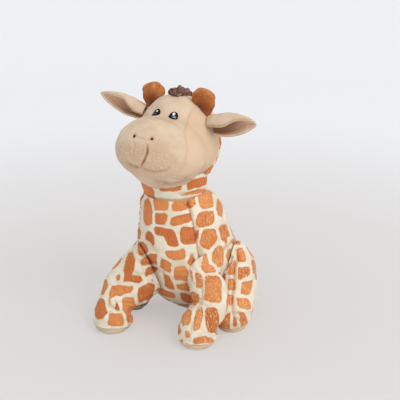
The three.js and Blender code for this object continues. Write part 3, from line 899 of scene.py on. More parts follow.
SIDE_PATCHES = patches(
    ("shoulder, top", 197.5, 190, 215, 208.8, -4, 2),
    ("back edge, upper", 215.5, 203, 223, 219, -2.5),
    ("shoulder, lower", 196.6, 210, 213.6, 227.4, 2, 4),
    ("flank, upper", 199, 230, 216.6, 248.6, 1, 1),
    ("by the side seam", 191.8, 233, 199.4, 245.5, 4),
    ("back edge, middle", 218, 222.6, 229, 243, -4),
    ("flank, oval", 212.4, 245, 224.2, 264.7, -1),
    ("back edge, low", 225.5, 239.8, 237, 244.8),
    ("above the haunch", 225, 247, 231.5, 259, 2),
    ("above the foreleg", 196.5, 251.4, 201, 258, -1),
    ("above the foreleg, upright arm", 200, 253, 208, 268, -3),
    ("above the foreleg, foot", 197.6, 265, 213, 272.6, 0, -1, True),
)
FORELEG_PATCHES = {
    Side.LEFT: patches(
        ("thigh, large", 203.4, 277.4, 220.6, 302.4, -1),
        ("thigh, front", 194, 270.5, 203, 289.5, -2),
        ("shin, inner", 188.7, 291, 200, 306, 1),
        ("foot, inner", 180.3, 308, 193, 324.7, 1.5),
        ("foot, on the seam", 192, 308.4, 203.2, 327.4, 4),
        ("foot, outer", 205, 306.8, 219.4, 332, -3),
        ("toe, edge", 176.6, 324, 180, 332),
        ("toe, narrow", 187, 331.6, 190.2, 339.5),
        ("toe, low", 192.4, 336.3, 211, 343.4, 0, 2.5),
        ("inner, high", 190, 266, 193.5, 280),
    ),
    Side.RIGHT: patches(
        ("shoulder, upper", 136, 243, 148.8, 256, 3, -1),
        ("shoulder, gathered", 142, 254.6, 158.5, 265, 1, 1),
        ("inner, below the gathers", 145, 266.6, 156.5, 277.4, 2, 1),
        ("upper side, tall", 122, 255.6, 135, 280, 5),
        ("upper side, foot", 128.6, 275.5, 141.2, 283.4, 0, -2, True),
        ("outer edge, small", 115.6, 276, 121.6, 281.4, 2),
        ("shin, curved, right arm", 108.7, 287, 118, 301, 4),
        ("shin, curved, left arm", 114, 284, 132.2, 295.6, 1, 1, True),
        ("thigh, large", 136.3, 281.6, 155.6, 301.5, 5, 4),
        ("foot, tall", 123, 297, 136.2, 320.2, -1),
        ("foot, tiny", 113.8, 301, 118.4, 308.8, -2),
        ("toe, outer", 95.4, 300.7, 106, 318, -1, 1),
        ("toe, front", 108.8, 313.4, 123.6, 325.4, 0, 1),
        ("underside", 150.8, 275, 160.4, 284, 0, -2),
    ),
}
HINDLEG_PATCHES = {
    Side.LEFT: patches(
        ("thigh, front", 224.5, 260.4, 236, 274.4, -1, -1),
        ("thigh, side", 236.4, 265.5, 248.8, 279.3, -1, 1),
        ("hip, small", 237, 250, 244.4, 261.7, -2),
        ("front edge, upper", 221.8, 269.4, 225.8, 290, -1),
        ("front, small", 228, 280, 234.6, 290.6),
        ("side, middle", 241, 280.5, 251.8, 294.4, 3),
        ("front, lower", 226.4, 295, 232.2, 304),
        ("side, low", 237, 297, 250, 308.6, -2, -1),
        ("front edge, lower", 221, 295.6, 225.2, 309.4),
        ("toe, inner", 220, 312.8, 229.8, 328.9),
        ("toe, on the seam", 232.6, 318, 237.2, 325),
        ("toe, outer", 237.8, 314.6, 247.4, 328.4, -3),
    ),
    Side.RIGHT: (),
}
NECK_PATCHES = patches(
    ("right of the chin", 138.6, 176.7, 155, 196.4, -8),
    ("left of the chin", 186, 177.5, 205.6, 191, 3, 5),
    ("by the neck seam", 162.4, 186, 180, 190.4, -1, 0),
    ("behind the neck crease", 189, 188.8, 204.5, 194, 0, 3),
)


# Finishes


def linear(red: float, green: float, blue: float) -> tuple[float, float, float, float]:
    """A colour given as 0 to 255 screen values, as linear light.

    Args:
        red: 0 to 255.
        green: 0 to 255.
        blue: 0 to 255.

    Returns:
        The three parts and an alpha of one.
    """
    values = np.array([red, green, blue]) / 255
    low = values / 12.92
    high = ((values + 0.055) / 1.055) ** 2.4
    mixed = np.where(values <= 0.04045, low, high)
    return float(mixed[0]), float(mixed[1]), float(mixed[2]), 1.0


class Nodes:
    """A material's node tree, with short ways to add what the finishes share."""

    def __init__(self, name: str) -> None:
        """Starts a material with a Principled shader.

        Args:
            name: the material's name.
        """
        self.material = bpy.data.materials.new(f"{name}_finish")
        self.material.use_nodes = True
        self.tree = self.material.node_tree
        self.tree.nodes.clear()
        self.output = self.add("ShaderNodeOutputMaterial")
        self.shader = self.add("ShaderNodeBsdfPrincipled")
        self.tree.links.new(self.shader.outputs[0], self.output.inputs["Surface"])

    def add(self, kind: str, **settings: object) -> bpy.types.Node:
        """A new node with the given properties.

        Args:
            kind: Blender's name of its type.
            settings: its properties.

        Returns:
            The node.
        """
        node = self.tree.nodes.new(kind)
        for key, value in settings.items():
            setattr(node, key, value)
        return node

    def feed(self, socket: Socket, value: object) -> None:
        """Links a socket to another, or sets it to a number or colour.

        Args:
            socket: the input.
            value: an output, a number or a colour.
        """
        if isinstance(value, bpy.types.NodeSocket):
            self.tree.links.new(value, socket)
        else:
            socket.default_value = value

    def attribute(self, name: str) -> Socket:
        """A float attribute of the mesh."""
        return self.add("ShaderNodeAttribute", attribute_name=name).outputs["Fac"]

    def math(self, operation: str, *values: object, clamp: bool = False) -> Socket:
        """The result of one operation on two or three values, cut to 0 to 1 if clamp says so.

        Args:
            operation: Blender's name of it.
            values: sockets or numbers.
            clamp: whether the result is cut.

        Returns:
            The result.
        """
        node = self.add("ShaderNodeMath", operation=operation, use_clamp=clamp)
        for place, value in enumerate(values):
            self.feed(node.inputs[place], value)
        return node.outputs[0]

    def step(self, value: object, low: float, high: float) -> Socket:
        """Zero below low and one above high, smoothly between.

        Args:
            value: a socket or number.
            low: where the step starts.
            high: where it ends; it may lie below low.

        Returns:
            Values from 0 to 1.
        """
        node = self.add("ShaderNodeMapRange", interpolation_type="SMOOTHSTEP")
        self.feed(node.inputs["Value"], value)
        node.inputs["From Min"].default_value = low
        node.inputs["From Max"].default_value = high
        return node.outputs["Result"]

    def noise(self, size: float, detail: float = 2.0, stretch: Point = (1, 1, 1),
              turn: Point = (0, 0, 0)) -> Socket:
        """Noise on the object's own coordinates.

        Args:
            size: mm across its lumps.
            detail: octaves.
            stretch: scales along the turned axes.
            turn: degrees about X, Y and Z before the stretch.

        Returns:
            Values from 0 to 1.
        """
        place = self.add("ShaderNodeTexCoord").outputs["Object"]
        mapping = self.add("ShaderNodeMapping", vector_type="POINT")
        self.feed(mapping.inputs["Vector"], place)
        mapping.inputs["Rotation"].default_value = tuple(np.radians(turn))
        mapping.inputs["Scale"].default_value = stretch
        texture = self.add("ShaderNodeTexNoise")
        self.feed(texture.inputs["Vector"], mapping.outputs["Vector"])
        texture.inputs["Scale"].default_value = 1 / (size * MM)
        texture.inputs["Detail"].default_value = detail
        return texture.outputs["Fac"]

    def mix(self, share: object, a: object, b: object, blend: str = "MIX") -> Socket:
        """Two colours mixed by a share.

        Args:
            share: how much of the second, from 0 to 1.
            a: the first.
            b: the second.
            blend: Blender's name of the way of mixing.

        Returns:
            The mixed colour.
        """
        node = self.add("ShaderNodeMix", data_type="RGBA", blend_type=blend)
        self.feed(node.inputs[0], share)
        self.feed(node.inputs[6], a)
        self.feed(node.inputs[7], b)
        return node.outputs[2]

    def bump(self, height: object, strength: float, distance: float,
             below: Optional[Socket] = None) -> Socket:
        """A bumped normal from a height of 0 to 1, with its distance in mm.

        Args:
            height: a socket.
            strength: share of the bump.
            distance: mm.
            below: a normal that it adds to.

        Returns:
            The normal.
        """
        node = self.add("ShaderNodeBump")
        node.inputs["Strength"].default_value = strength
        node.inputs["Distance"].default_value = distance * MM
        self.feed(node.inputs["Height"], height)
        if below is not None:
            self.feed(node.inputs["Normal"], below)
        return node.outputs["Normal"]

    def plush(self, colour: object, sheen: float, roughness: float, tint: Numbers) -> None:
        """Colour, sheen and roughness of a short pile.

        Args:
            colour: a socket or colour.
            sheen: weight of the sheen.
            roughness: from 0 to 1.
            tint: the sheen's colour.
        """
        self.feed(self.shader.inputs["Base Color"], colour)
        self.shader.inputs["Roughness"].default_value = roughness
        self.shader.inputs["Specular IOR Level"].default_value = 0.12
        self.shader.inputs["Sheen Weight"].default_value = sheen
        self.shader.inputs["Sheen Roughness"].default_value = 0.45
        self.shader.inputs["Sheen Tint"].default_value = tint


@dataclass(frozen=True)
class PrintedPlush:
    """Cream plush with a brushed pile, printed with orange patches by the attribute print, with painted sheen
    streaks on the patches and painted shade by the attribute shade.

    Attributes:
        name: the material's name.
        cream: the ground.
        shaded_cream: the ground where it is mottled.
        orange: a light patch.
        deep: a dark patch.
        streak: painted sheen: the light streaks of the brushed pile on a patch.
        crease: painted shade: what the colour is multiplied by where the attribute shade marks creases and
            hollows.
    """

    name: str = "printed_plush"
    cream: Numbers = linear(240, 231, 209)
    shaded_cream: Numbers = linear(226, 213, 184)
    orange: Numbers = linear(226, 146, 86)
    deep: Numbers = linear(200, 110, 58)
    streak: Numbers = linear(246, 204, 146)
    crease: Numbers = linear(214, 176, 140)

    def build(self) -> bpy.types.Material:
        """Makes the material."""
        n = Nodes(self.name)
        ground = n.mix(n.step(n.noise(9.0), 0.35, 0.75), self.cream, self.shaded_cream)
        frayed = n.math("MULTIPLY_ADD", n.noise(0.7, detail=3.0), 0.9, -0.45)
        edge = n.math("ADD", n.attribute("print"), frayed)
        inside = n.step(edge, -0.28, 0.32)
        depth = n.math("MULTIPLY_ADD", n.noise(6.0), 0.7, n.math("SUBTRACT", n.attribute("tone"), 0.35))
        orange = n.mix(n.step(depth, 0.0, 1.0), self.deep, self.orange)
        rim = n.step(edge, 1.5, 0.1)
        orange = n.mix(n.math("MULTIPLY", rim, 0.45), orange, self.deep)
        # Painted sheen: lighter streaks of the brushed pile on the patches, strongest on the pieces that the
        # lamp lights.
        strokes = n.noise(0.85, stretch=(1.0, 1.0, 0.24), turn=(24.0, 38.0, 0.0))
        lit = n.math("MULTIPLY", n.step(strokes, 0.5, 0.72), n.math("MULTIPLY", n.attribute("nap"), 0.8))
        orange = n.mix(lit, orange, self.streak)
        colour = n.mix(inside, ground, orange)
        # Painted shade in creases and hollows, by the attribute shade.
        colour = n.mix(n.attribute("shade"), colour, n.mix(1.0, colour, self.crease, "MULTIPLY"))
        n.plush(colour, sheen=0.22, roughness=0.92, tint=linear(255, 240, 220))
        pile = n.math("ADD", n.noise(0.55, detail=3.0), n.math("MULTIPLY", strokes, n.attribute("nap")))
        soft = n.bump(n.noise(2.4), strength=0.35, distance=0.5)
        n.feed(n.shader.inputs["Normal"], n.bump(pile, strength=0.45, distance=0.3, below=soft))
        return n.material


@dataclass(frozen=True)
class BeigePlush:
    """Short beige pile, curlier where the attribute curl says so and warmer where warm does.

    Attributes:
        name: the material's name.
        base: its colour.
        mottle: its colour where the pile lies the other way.
        warm: its colour on the cheeks.
        lip: its colour between curls.
        curl: the light tips of curled pile.
        crease: painted shade: what the colour is multiplied by where the attribute shade marks creases and
            hollows.
    """

    name: str = "beige_plush"
    base: Numbers = linear(227, 203, 174)
    mottle: Numbers = linear(218, 191, 160)
    warm: Numbers = linear(223, 195, 163)
    lip: Numbers = linear(215, 179, 145)
    curl: Numbers = linear(241, 222, 196)
    crease: Numbers = linear(186, 146, 116)

    def build(self) -> bpy.types.Material:
        """Makes the material."""
        n = Nodes(self.name)
        ground = n.mix(n.step(n.noise(8.0), 0.35, 0.7), self.base, self.mottle)
        ground = n.mix(n.attribute("warm"), ground, self.warm)
        ground = n.mix(n.math("MULTIPLY", n.attribute("curl"), 0.7), ground, self.lip)
        curls = n.noise(1.25)
        tips = n.math("MULTIPLY", n.step(curls, 0.52, 0.66), n.attribute("curl"))
        ground = n.mix(n.math("MULTIPLY", tips, 0.5), ground, self.curl)
        # Painted shade in creases and hollows, by the attribute shade.
        colour = n.mix(n.attribute("shade"), ground, n.mix(1.0, ground, self.crease, "MULTIPLY"))
        n.plush(colour, sheen=0.25, roughness=0.93, tint=linear(255, 242, 228))
        curled = n.bump(n.math("MULTIPLY", curls, n.attribute("curl")), strength=0.8, distance=1.0)
        n.feed(n.shader.inputs["Normal"], n.bump(n.noise(0.6, detail=3.0), strength=0.4, distance=0.28,
                                                   below=curled))
        return n.material


@dataclass(frozen=True)
class PlainPlush:
    """Plush or cloth of one dye: mottled, with the pile's light and dark sides, and painted shade where the
    attribute shade says so.

    Attributes:
        name: the material's name.
        base: its colour.
        tip: the colour of its pile seen from the side.
        dark: the colour down between the pile, and of the painted shade where the attribute shade says so.
        pile: mm across a lump of pile.
        depth: depth of the pile's bump in mm.
        sheen: how much its edges catch the light.
    """

    name: str
    base: Numbers
    tip: Numbers
    dark: Numbers
    pile: float = 0.7
    depth: float = 0.35
    sheen: float = 0.3

    def build(self) -> bpy.types.Material:
        """Makes the material."""
        n = Nodes(self.name)
        grain = n.noise(self.pile, detail=3.0)
        colour = n.mix(n.step(n.noise(5.0), 0.3, 0.7), self.base, n.mix(0.5, self.base, self.tip))
        colour = n.mix(n.step(grain, 0.56, 0.8), colour, self.tip)
        colour = n.mix(n.step(grain, 0.42, 0.2), colour, self.dark)
        # Painted shade where the attribute shade says so.
        colour = n.mix(n.attribute("shade"), colour, self.dark)
        n.plush(colour, sheen=self.sheen, roughness=0.94, tint=self.tip)
        n.feed(n.shader.inputs["Normal"], n.bump(grain, strength=0.5, distance=self.depth))
        return n.material


@dataclass(frozen=True)
class StrandPlush:
    """Shaggy pile made of strands: darker at the root and lighter at the tip, by the attribute along.

    Attributes:
        name: the material's name.
        root: the colour at the root.
        tip: the colour at the tip.
    """

    name: str
    root: Numbers
    tip: Numbers

    def build(self) -> bpy.types.Material:
        """Makes the material."""
        n = Nodes(self.name)
        at_tip = n.math("MULTIPLY", n.attribute("along"), 0.5)
        share = n.math("MULTIPLY_ADD", n.attribute("strand"), 0.55, at_tip)
        colour = n.mix(share, self.root, self.tip)
        n.plush(colour, sheen=0.2, roughness=0.8, tint=self.tip)
        n.feed(n.shader.inputs["Normal"], n.bump(n.noise(0.4), strength=0.3, distance=0.15))
        return n.material


@dataclass(frozen=True)
class EyeThread:
    """Satin stitch in black and green, with a painted highlight in white and grey-blue, by the attributes
    glint, green and blue.

    Attributes:
        name: the material's name.
        black: the eye.
        white: the glint, a painted highlight.
        green: the thread in the eye's lower half.
        blue: a painted grey-blue highlight at its outer corner.
    """

    name: str = "eye_thread"
    black: Numbers = linear(22, 21, 23)
    white: Numbers = linear(250, 251, 252)
    green: Numbers = linear(40, 52, 42)
    blue: Numbers = linear(176, 188, 202)

    def build(self) -> bpy.types.Material:
        """Makes the material."""
        n = Nodes(self.name)
        threads = n.noise(0.3, detail=1.0, stretch=(1.0, 1.0, 0.12), turn=(0.0, 8.0, 0.0))
        colour = n.mix(n.attribute("green"), self.black, self.green)
        colour = n.mix(n.attribute("blue"), colour, self.blue)
        colour = n.mix(n.attribute("glint"), colour, self.white)
        colour = n.mix(n.math("MULTIPLY", n.step(threads, 0.55, 0.3), 0.35), colour, self.black)
        n.feed(n.shader.inputs["Base Color"], colour)
        n.shader.inputs["Roughness"].default_value = 0.55
        n.shader.inputs["Specular IOR Level"].default_value = 0.15
        n.feed(n.shader.inputs["Normal"], n.bump(threads, strength=0.5, distance=0.18))
        return n.material


class Dye(Enum):
    """The finishes that the pieces are made of."""

    PRINTED = PrintedPlush()
    BEIGE = BeigePlush()
    LINING = PlainPlush("ear_lining", linear(214, 174, 144), linear(226, 190, 160), linear(162, 112, 86),
                        pile=0.8)
    RUST = PlainPlush("rust_plush", linear(178, 98, 50), linear(240, 166, 100), linear(122, 60, 34),
                      pile=1.3, depth=1.3, sheen=0.4)
    MANE = StrandPlush("mane_plush", linear(80, 53, 46), linear(160, 126, 110))
    BROWN = PlainPlush("brown_thread", linear(74, 50, 38), linear(104, 74, 58), linear(48, 30, 24),
                       pile=0.3, depth=0.2, sheen=0.1)
    THREAD = EyeThread()
    FIBRE = PlainPlush("polyester_filling", linear(244, 243, 239), linear(252, 252, 250),
                       linear(214, 212, 206), pile=2.5, depth=1.2)
    PELLETS = PlainPlush("pellet_cloth", linear(222, 221, 216), linear(236, 236, 232),
                         linear(180, 178, 172), pile=1.1, depth=0.4)

    def material(self) -> bpy.types.Material:
        """The finish's material, made when it is first asked for."""
        found = bpy.data.materials.get(f"{self.value.name}_finish")
        return found or self.value.build()


def dress(piece: Thing, dye: Dye, node: str) -> None:
    """Finishes a piece: its material, and the node that it stands for, whose part it hides.

    Args:
        piece: the mesh object.
        dye: its finish.
        node: the node that it replaces.
    """
    piece.data.materials.append(dye.material())
    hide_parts(node)
    log.info("%s: %d faces, for %s", piece.name, len(piece.data.polygons), node)


# Smooth forms shared by the pieces


@dataclass(frozen=True)
class TorsoForm:
    """The torso's smooth form: an ellipse at each level, drawn in under the seat by a super-ellipse.

    Attributes:
        heights: mm of the stations.
        middles: fore-and-aft place of each station's ellipse.
        half_depths: its half depth.
        half_widths: its half width.
        seat_rise: height above which the rump no longer rounds under.
        bluntness: 2 is a round seat, more is flatter.
        flat: depth of the flat under the seat.
    """

    heights: Numbers = (0, 32, 58, 84, 97, 106)
    middles: Numbers = (0, -12.5, -25, -33.5, -38.5, -42)
    half_depths: Numbers = (34, 45.5, 44, 36.5, 31, 25)
    half_widths: Numbers = (36, 37.5, 35, 31, 28, 24)
    seat_rise: float = 38.0
    bluntness: float = 3.2
    flat: float = 0.5

    def between(self, values: Sequence[float], at: Array) -> Array:
        """A value at a height: cubic Hermite spans, with slopes from the neighbouring stations.

        Args:
            values: one for each station.
            at: heights in mm.

        Returns:
            Values with the shape of at.
        """
        h, v = np.asarray(self.heights, float), np.asarray(values, float)
        last = len(h) - 1
        before, after = np.maximum(np.arange(last + 1) - 1, 0), np.minimum(np.arange(last + 1) + 1, last)
        slopes = (v[after] - v[before]) / (h[after] - h[before])
        i = np.clip(np.searchsorted(h, at, side="left") - 1, 0, last - 1)
        span = h[i + 1] - h[i]
        t = (at - h[i]) / span
        return ((2 * t**3 - 3 * t**2 + 1) * v[i] + (t**3 - 2 * t**2 + t) * span * slopes[i]
                + (3 * t**2 - 2 * t**3) * v[i + 1] + (t**3 - t**2) * span * slopes[i + 1])

    def half_sizes(self, height: Array, grow: float = 0.0) -> tuple[Array, Array, Array]:
        """Half width, half depth and middle of the ellipse at a height.

        Args:
            height: mm.
            grow: mm added to both half sizes.

        Returns:
            Three arrays with the shape of height.
        """
        under = np.maximum(0, self.seat_rise - height) / (self.seat_rise + self.flat + max(grow, 0.0))
        rounded = np.maximum(0, 1 - under**self.bluntness) ** (1 / self.bluntness)
        wide = (self.between(self.half_widths, height) + grow) * rounded
        deep = (self.between(self.half_depths, height) + grow) * rounded
        return wide, deep, self.between(self.middles, height)

    def points(self, angle: Array, height: Array, grow: float = 0.0) -> Array:
        """Points at angles from the front towards the left side, at the given heights."""
        wide, deep, middle = self.half_sizes(height, grow)
        return np.stack([wide * np.sin(angle), middle - deep * np.cos(angle), height + 0 * angle], axis=-1)

    def push_out(self, points: Array, clearance: float) -> Array:
        """Moves points that lie inside the torso straight out, level, to its surface and a clearance.

        A point at share f of the ellipse's radius, f below 1, moves along its level ray to f = 1.

        Args:
            points: places in mm.
            clearance: mm off the surface.

        Returns:
            The moved points.
        """
        low = np.clip(points[..., 2], 1.0, self.heights[-1])
        wide, deep, middle = self.half_sizes(low)
        x = points[..., 0] / (wide + clearance)
        y = (points[..., 1] - middle) / (deep + clearance)
        share = np.maximum(np.hypot(x, y), 1e-6)
        scale = np.where((share < 1) & (points[..., 2] < self.heights[-1] + 2), 1 / share, 1.0)
        moved = points.copy()
        moved[..., 0] = x * scale * (wide + clearance)
        moved[..., 1] = middle + y * scale * (deep + clearance)
        return moved


TORSO = TorsoForm()
ABOVE_GROUND = 0.02
NECK_PIVOT = np.array([0.0, -46.0, 119.0])
POCKET = 25.9


@dataclass(frozen=True)
class HeadForm:
    """The head's smooth form: skull and muzzle joined by a smooth maximum of their reach from a core.

    Attributes:
        core: where the reach is measured from.
        skull: its middle, then half width, half depth and half height.
        muzzle: the same.
        blend: power of the smooth maximum.
        turn: degrees that the head is turned about the neck.
        seam_top: degrees from the muzzle's axis to the seam round the face, at the crown.
        seam_side: the same at the ears.
        seam_chin: the same under the chin.
        jaw: mm by which the stuffed jaw sags over the neck.
        raised: mm by which the right side of the jaw is drawn up.
    """

    core: Point = (0.0, -52.0, 143.0)
    skull: Numbers = (0.0, -39.0, 146.0, 32.6, 25.5, 33.5)
    muzzle: Numbers = (0.0, -64.0, 142.5, 35.0, 26.0, 25.0)
    blend: float = 16.0
    turn: float = -4.0
    seam_top: float = 110.0
    seam_side: float = 120.5
    seam_chin: float = 66.0
    jaw: float = 3.2
    raised: float = 6.2

    @property
    def heart(self) -> Array:
        """The core as an array."""
        return np.array(self.core)

    def at(self, directions: Array, reach: Array) -> Array:
        """Points of the turned head at a distance from its core."""
        return self.turned(self.heart + directions * reach[..., None])

    def straightened(self, points: Array) -> Array:
        """Points of the turned head, turned back to the straight one."""
        return turned_about(points, NECK_PIVOT, UP, -self.turn)

    def directions(self, polar: Array, turn: Array) -> Array:
        """Unit directions: polar angle from the muzzle's axis, and turn from the crown to the left."""
        polar, turn = np.broadcast_arrays(polar, turn)
        return np.stack([np.sin(polar) * np.sin(turn), -np.cos(polar), np.sin(polar) * np.cos(turn)], axis=-1)

    def reach(self, directions: Array, grow: float = 0.0, core: Optional[Array] = None) -> Array:
        """Distance from the core to the surface: (skull^n + muzzle^n)^(1/n) of the two rays' lengths.

        Args:
            directions: unit vectors.
            grow: mm added to the form.
            core: another place to measure from.

        Returns:
            Distances in mm.
        """
        start = np.asarray(self.core if core is None else core)
        total = 0.0
        for form in (self.skull, self.muzzle):
            radius = np.array(form[3:]) + grow
            begin = (start - np.array(form[:3])) / radius
            along = directions / radius
            a = np.sum(along * along, axis=-1)
            b = along @ begin
            ray = (-b + np.sqrt(np.maximum(b * b - a * (begin @ begin - 1), 0))) / a
            total = total + np.maximum(ray, 1e-3) ** self.blend
        return total ** (1 / self.blend)

    def turned(self, points: Array) -> Array:
        """Points of the straight head, turned with it about the upright line through the neck.

        Args:
            points: places in mm.

        Returns:
            The turned points.
        """
        a = np.radians(self.turn)
        x, y = points[..., 0], points[..., 1] - NECK_PIVOT[1]
        return np.stack([x * np.cos(a) - y * np.sin(a), NECK_PIVOT[1] + x * np.sin(a) + y * np.cos(a),
                         points[..., 2]], axis=-1)

    def points(self, polar: Array, turn: Array, grow: float = 0.0) -> Array:
        """Points of the turned head's surface.

        Args:
            polar: angle from the muzzle's axis, in radians.
            turn: angle from the crown to the left.
            grow: mm added to the form.

        Returns:
            Places in mm.
        """
        d = self.directions(polar, turn)
        points = self.heart + d * self.reach(d, grow)[..., None]
        points[..., 2] -= (self.jaw * smooth_step(-d[..., 2], 0.15, 0.95)
                           * smooth_step(points[..., 1], -90.0, -62.0))
        points[..., 2] += (self.raised * smooth_step(-d[..., 2], 0.1, 0.75)
                           * smooth_step(-points[..., 0], 0.0, 26.0))
        return self.turned(points)

    def seam(self, turn: Array) -> Array:
        """Polar angle of the seam round the face.

        Args:
            turn: angle from the crown to the left, in radians.

        Returns:
            Radians from the muzzle's axis.
        """
        end = np.where(np.cos(turn) > 0, self.seam_top, self.seam_chin)
        side = np.sin(turn) ** 2
        return np.radians(end + (self.seam_side - end) * side)

    def edges(self, turn: Array) -> tuple[Array, Array]:
        """Polar angles at which the face's cover ends and the back's begins.

        Each is the seam, or the place where the cover meets the pocket that sits on the neck.

        Args:
            turn: angles from the crown to the left, in radians.

        Returns:
            The two angles for each turn, in radians.
        """
        polar = np.radians(np.linspace(20, 175, 621))[:, None]
        near = np.linalg.norm(self.points(polar, turn[None, :]) - NECK_PIVOT, axis=-1) < POCKET
        some = near.any(axis=0)
        first = polar[np.argmax(near, axis=0), 0]
        last = polar[len(polar) - 1 - np.argmax(near[::-1], axis=0), 0]
        seam = self.seam(turn)
        return np.where(some, np.minimum(seam, first), seam), np.where(some, np.maximum(seam, last), seam)


HEAD = HeadForm()


def clear_of_neck(points: Array, radius: float) -> Array:
    """Points nearer the neck's centre than a radius, moved out to it.

    Args:
        points: places in mm.
        radius: mm from the neck's centre.

    Returns:
        The moved points.
    """
    away = points - NECK_PIVOT
    distance = np.linalg.norm(away, axis=-1, keepdims=True)
    return NECK_PIVOT + away * np.maximum(1.0, radius / np.maximum(distance, 1e-6))


def ellipse_rings(route: Route, half_width: Sequence[float], half_depth: Sequence[float], rows: int,
                  columns: int, level: bool = False, bluntness: float = 4.0, grow: float = 0.0) -> Array:
    """Rings of a stuffed form along a route, swelling and tapering.

    Each ring is an ellipse square to the route, or level; its size is a curve through the given half
    sizes, times (1 - |2t - 1|^n)^(1/n), which rounds the ends.

    Args:
        route: the middle line.
        half_width: half widths at equal steps.
        half_depth: half depths at equal steps.
        rows: number of rings.
        columns: points in a ring.
        level: whether the rings stay level.
        bluntness: n.
        grow: mm added to both half sizes.

    Returns:
        Points with shape (rows, columns, 3).
    """
    t = (1 - np.cos(np.pi * (np.arange(rows) + 0.5) / rows)) / 2
    centre = route.points(t)
    facing = np.tile([0.0, 0.0, -1.0], (rows, 1)) if level else route.tangents(t)
    deep_axis = unit(np.cross(facing, [1.0, 0.0, 0.0]))
    wide_axis = unit(np.cross(deep_axis, facing))
    rounded = (1 - np.abs(2 * t - 1) ** bluntness) ** (1 / bluntness)
    wide = (spline_sizes(half_width, t) + grow) * rounded
    deep = (spline_sizes(half_depth, t) + grow) * rounded
    turn = 2 * np.pi * np.arange(columns) / columns
    return (centre[:, None] + wide_axis[:, None] * (wide[:, None] * np.cos(turn))[..., None]
            + deep_axis[:, None] * (deep[:, None] * np.sin(turn))[..., None])


def turned_about(points: Array, pivot: Array, axis: Array, degrees: float) -> Array:
    """Points turned about a line, by one angle or by one for each point: Rodrigues' formula.

    Args:
        points: places in mm.
        pivot: a point of the line.
        axis: its unit direction.
        degrees: the angle, or one for each point.

    Returns:
        The turned points.
    """
    a = np.asarray(np.radians(degrees))[..., None]
    v = points - pivot
    k = np.asarray(axis, float)
    return pivot + v * np.cos(a) + np.cross(k, v) * np.sin(a) + k * (v @ k)[..., None] * (1 - np.cos(a))


def joint_of(body: str) -> tuple[Array, Array, tuple[float, float]]:
    """Pivot in mm, axis and range in degrees of the joint that carries a body."""
    joint = next(j for j in frame["record"]["behaviour"]["joints"] if j["child"] == body)
    return np.array(joint["pos_m"]) / MM, np.array(joint["axis"]), tuple(joint["range_deg"])


def swept_clear(points: Array, body: str, push: Callable[[Array], Array], steps: int = 5,
                share: Union[float, Array] = 1.0) -> Array:
    """Points of a swinging piece, moved so that they clear its carrier over the joint's whole range.

    The piece is turned to several angles of its range; at each, what lies inside the carrier is pushed
    out, and the piece is turned back.

    Args:
        points: the piece's points in mm.
        body: the body that it rides on.
        push: moves points out of the carrier.
        steps: how many angles.
        share: how much of the angle each point turns by.

    Returns:
        The moved points.
    """
    pivot, axis, (low, high) = joint_of(body)
    for degrees in [share * angle for angle in (*np.linspace(low, high, steps), 0.0)]:
        points = turned_about(push(turned_about(points, pivot, axis, degrees)), pivot, axis, -degrees)
    return points


# Torso

TORSO_CREASES = (
    Crease((143, 148, 153, 158.5), (230, 241, 248, 253.5), 0.7, 1.3),
    Crease((143, 149, 157), (236, 246, 252.5), -0.5, 1.2),
    Crease((195, 203, 213.5), (266.5, 272, 273.5), 1.5, 1.3),
    Crease((199.5, 201.5, 199), (246, 256, 266), 0.9, 1.2),
    Crease((204, 208.5, 211), (256, 263, 269), 0.7, 1),
    Crease((190.5, 193.5, 194), (252, 260, 268), 0.8, 1.2),
    Crease((160.5, 163, 166.5), (256, 272, 290), 0.6, 1),
    Crease((176, 184, 191), (196, 200.5, 207), 0.9, 1.3),
    Crease((222, 226, 231), (252, 247, 244.5), 1.2, 1.4),
)


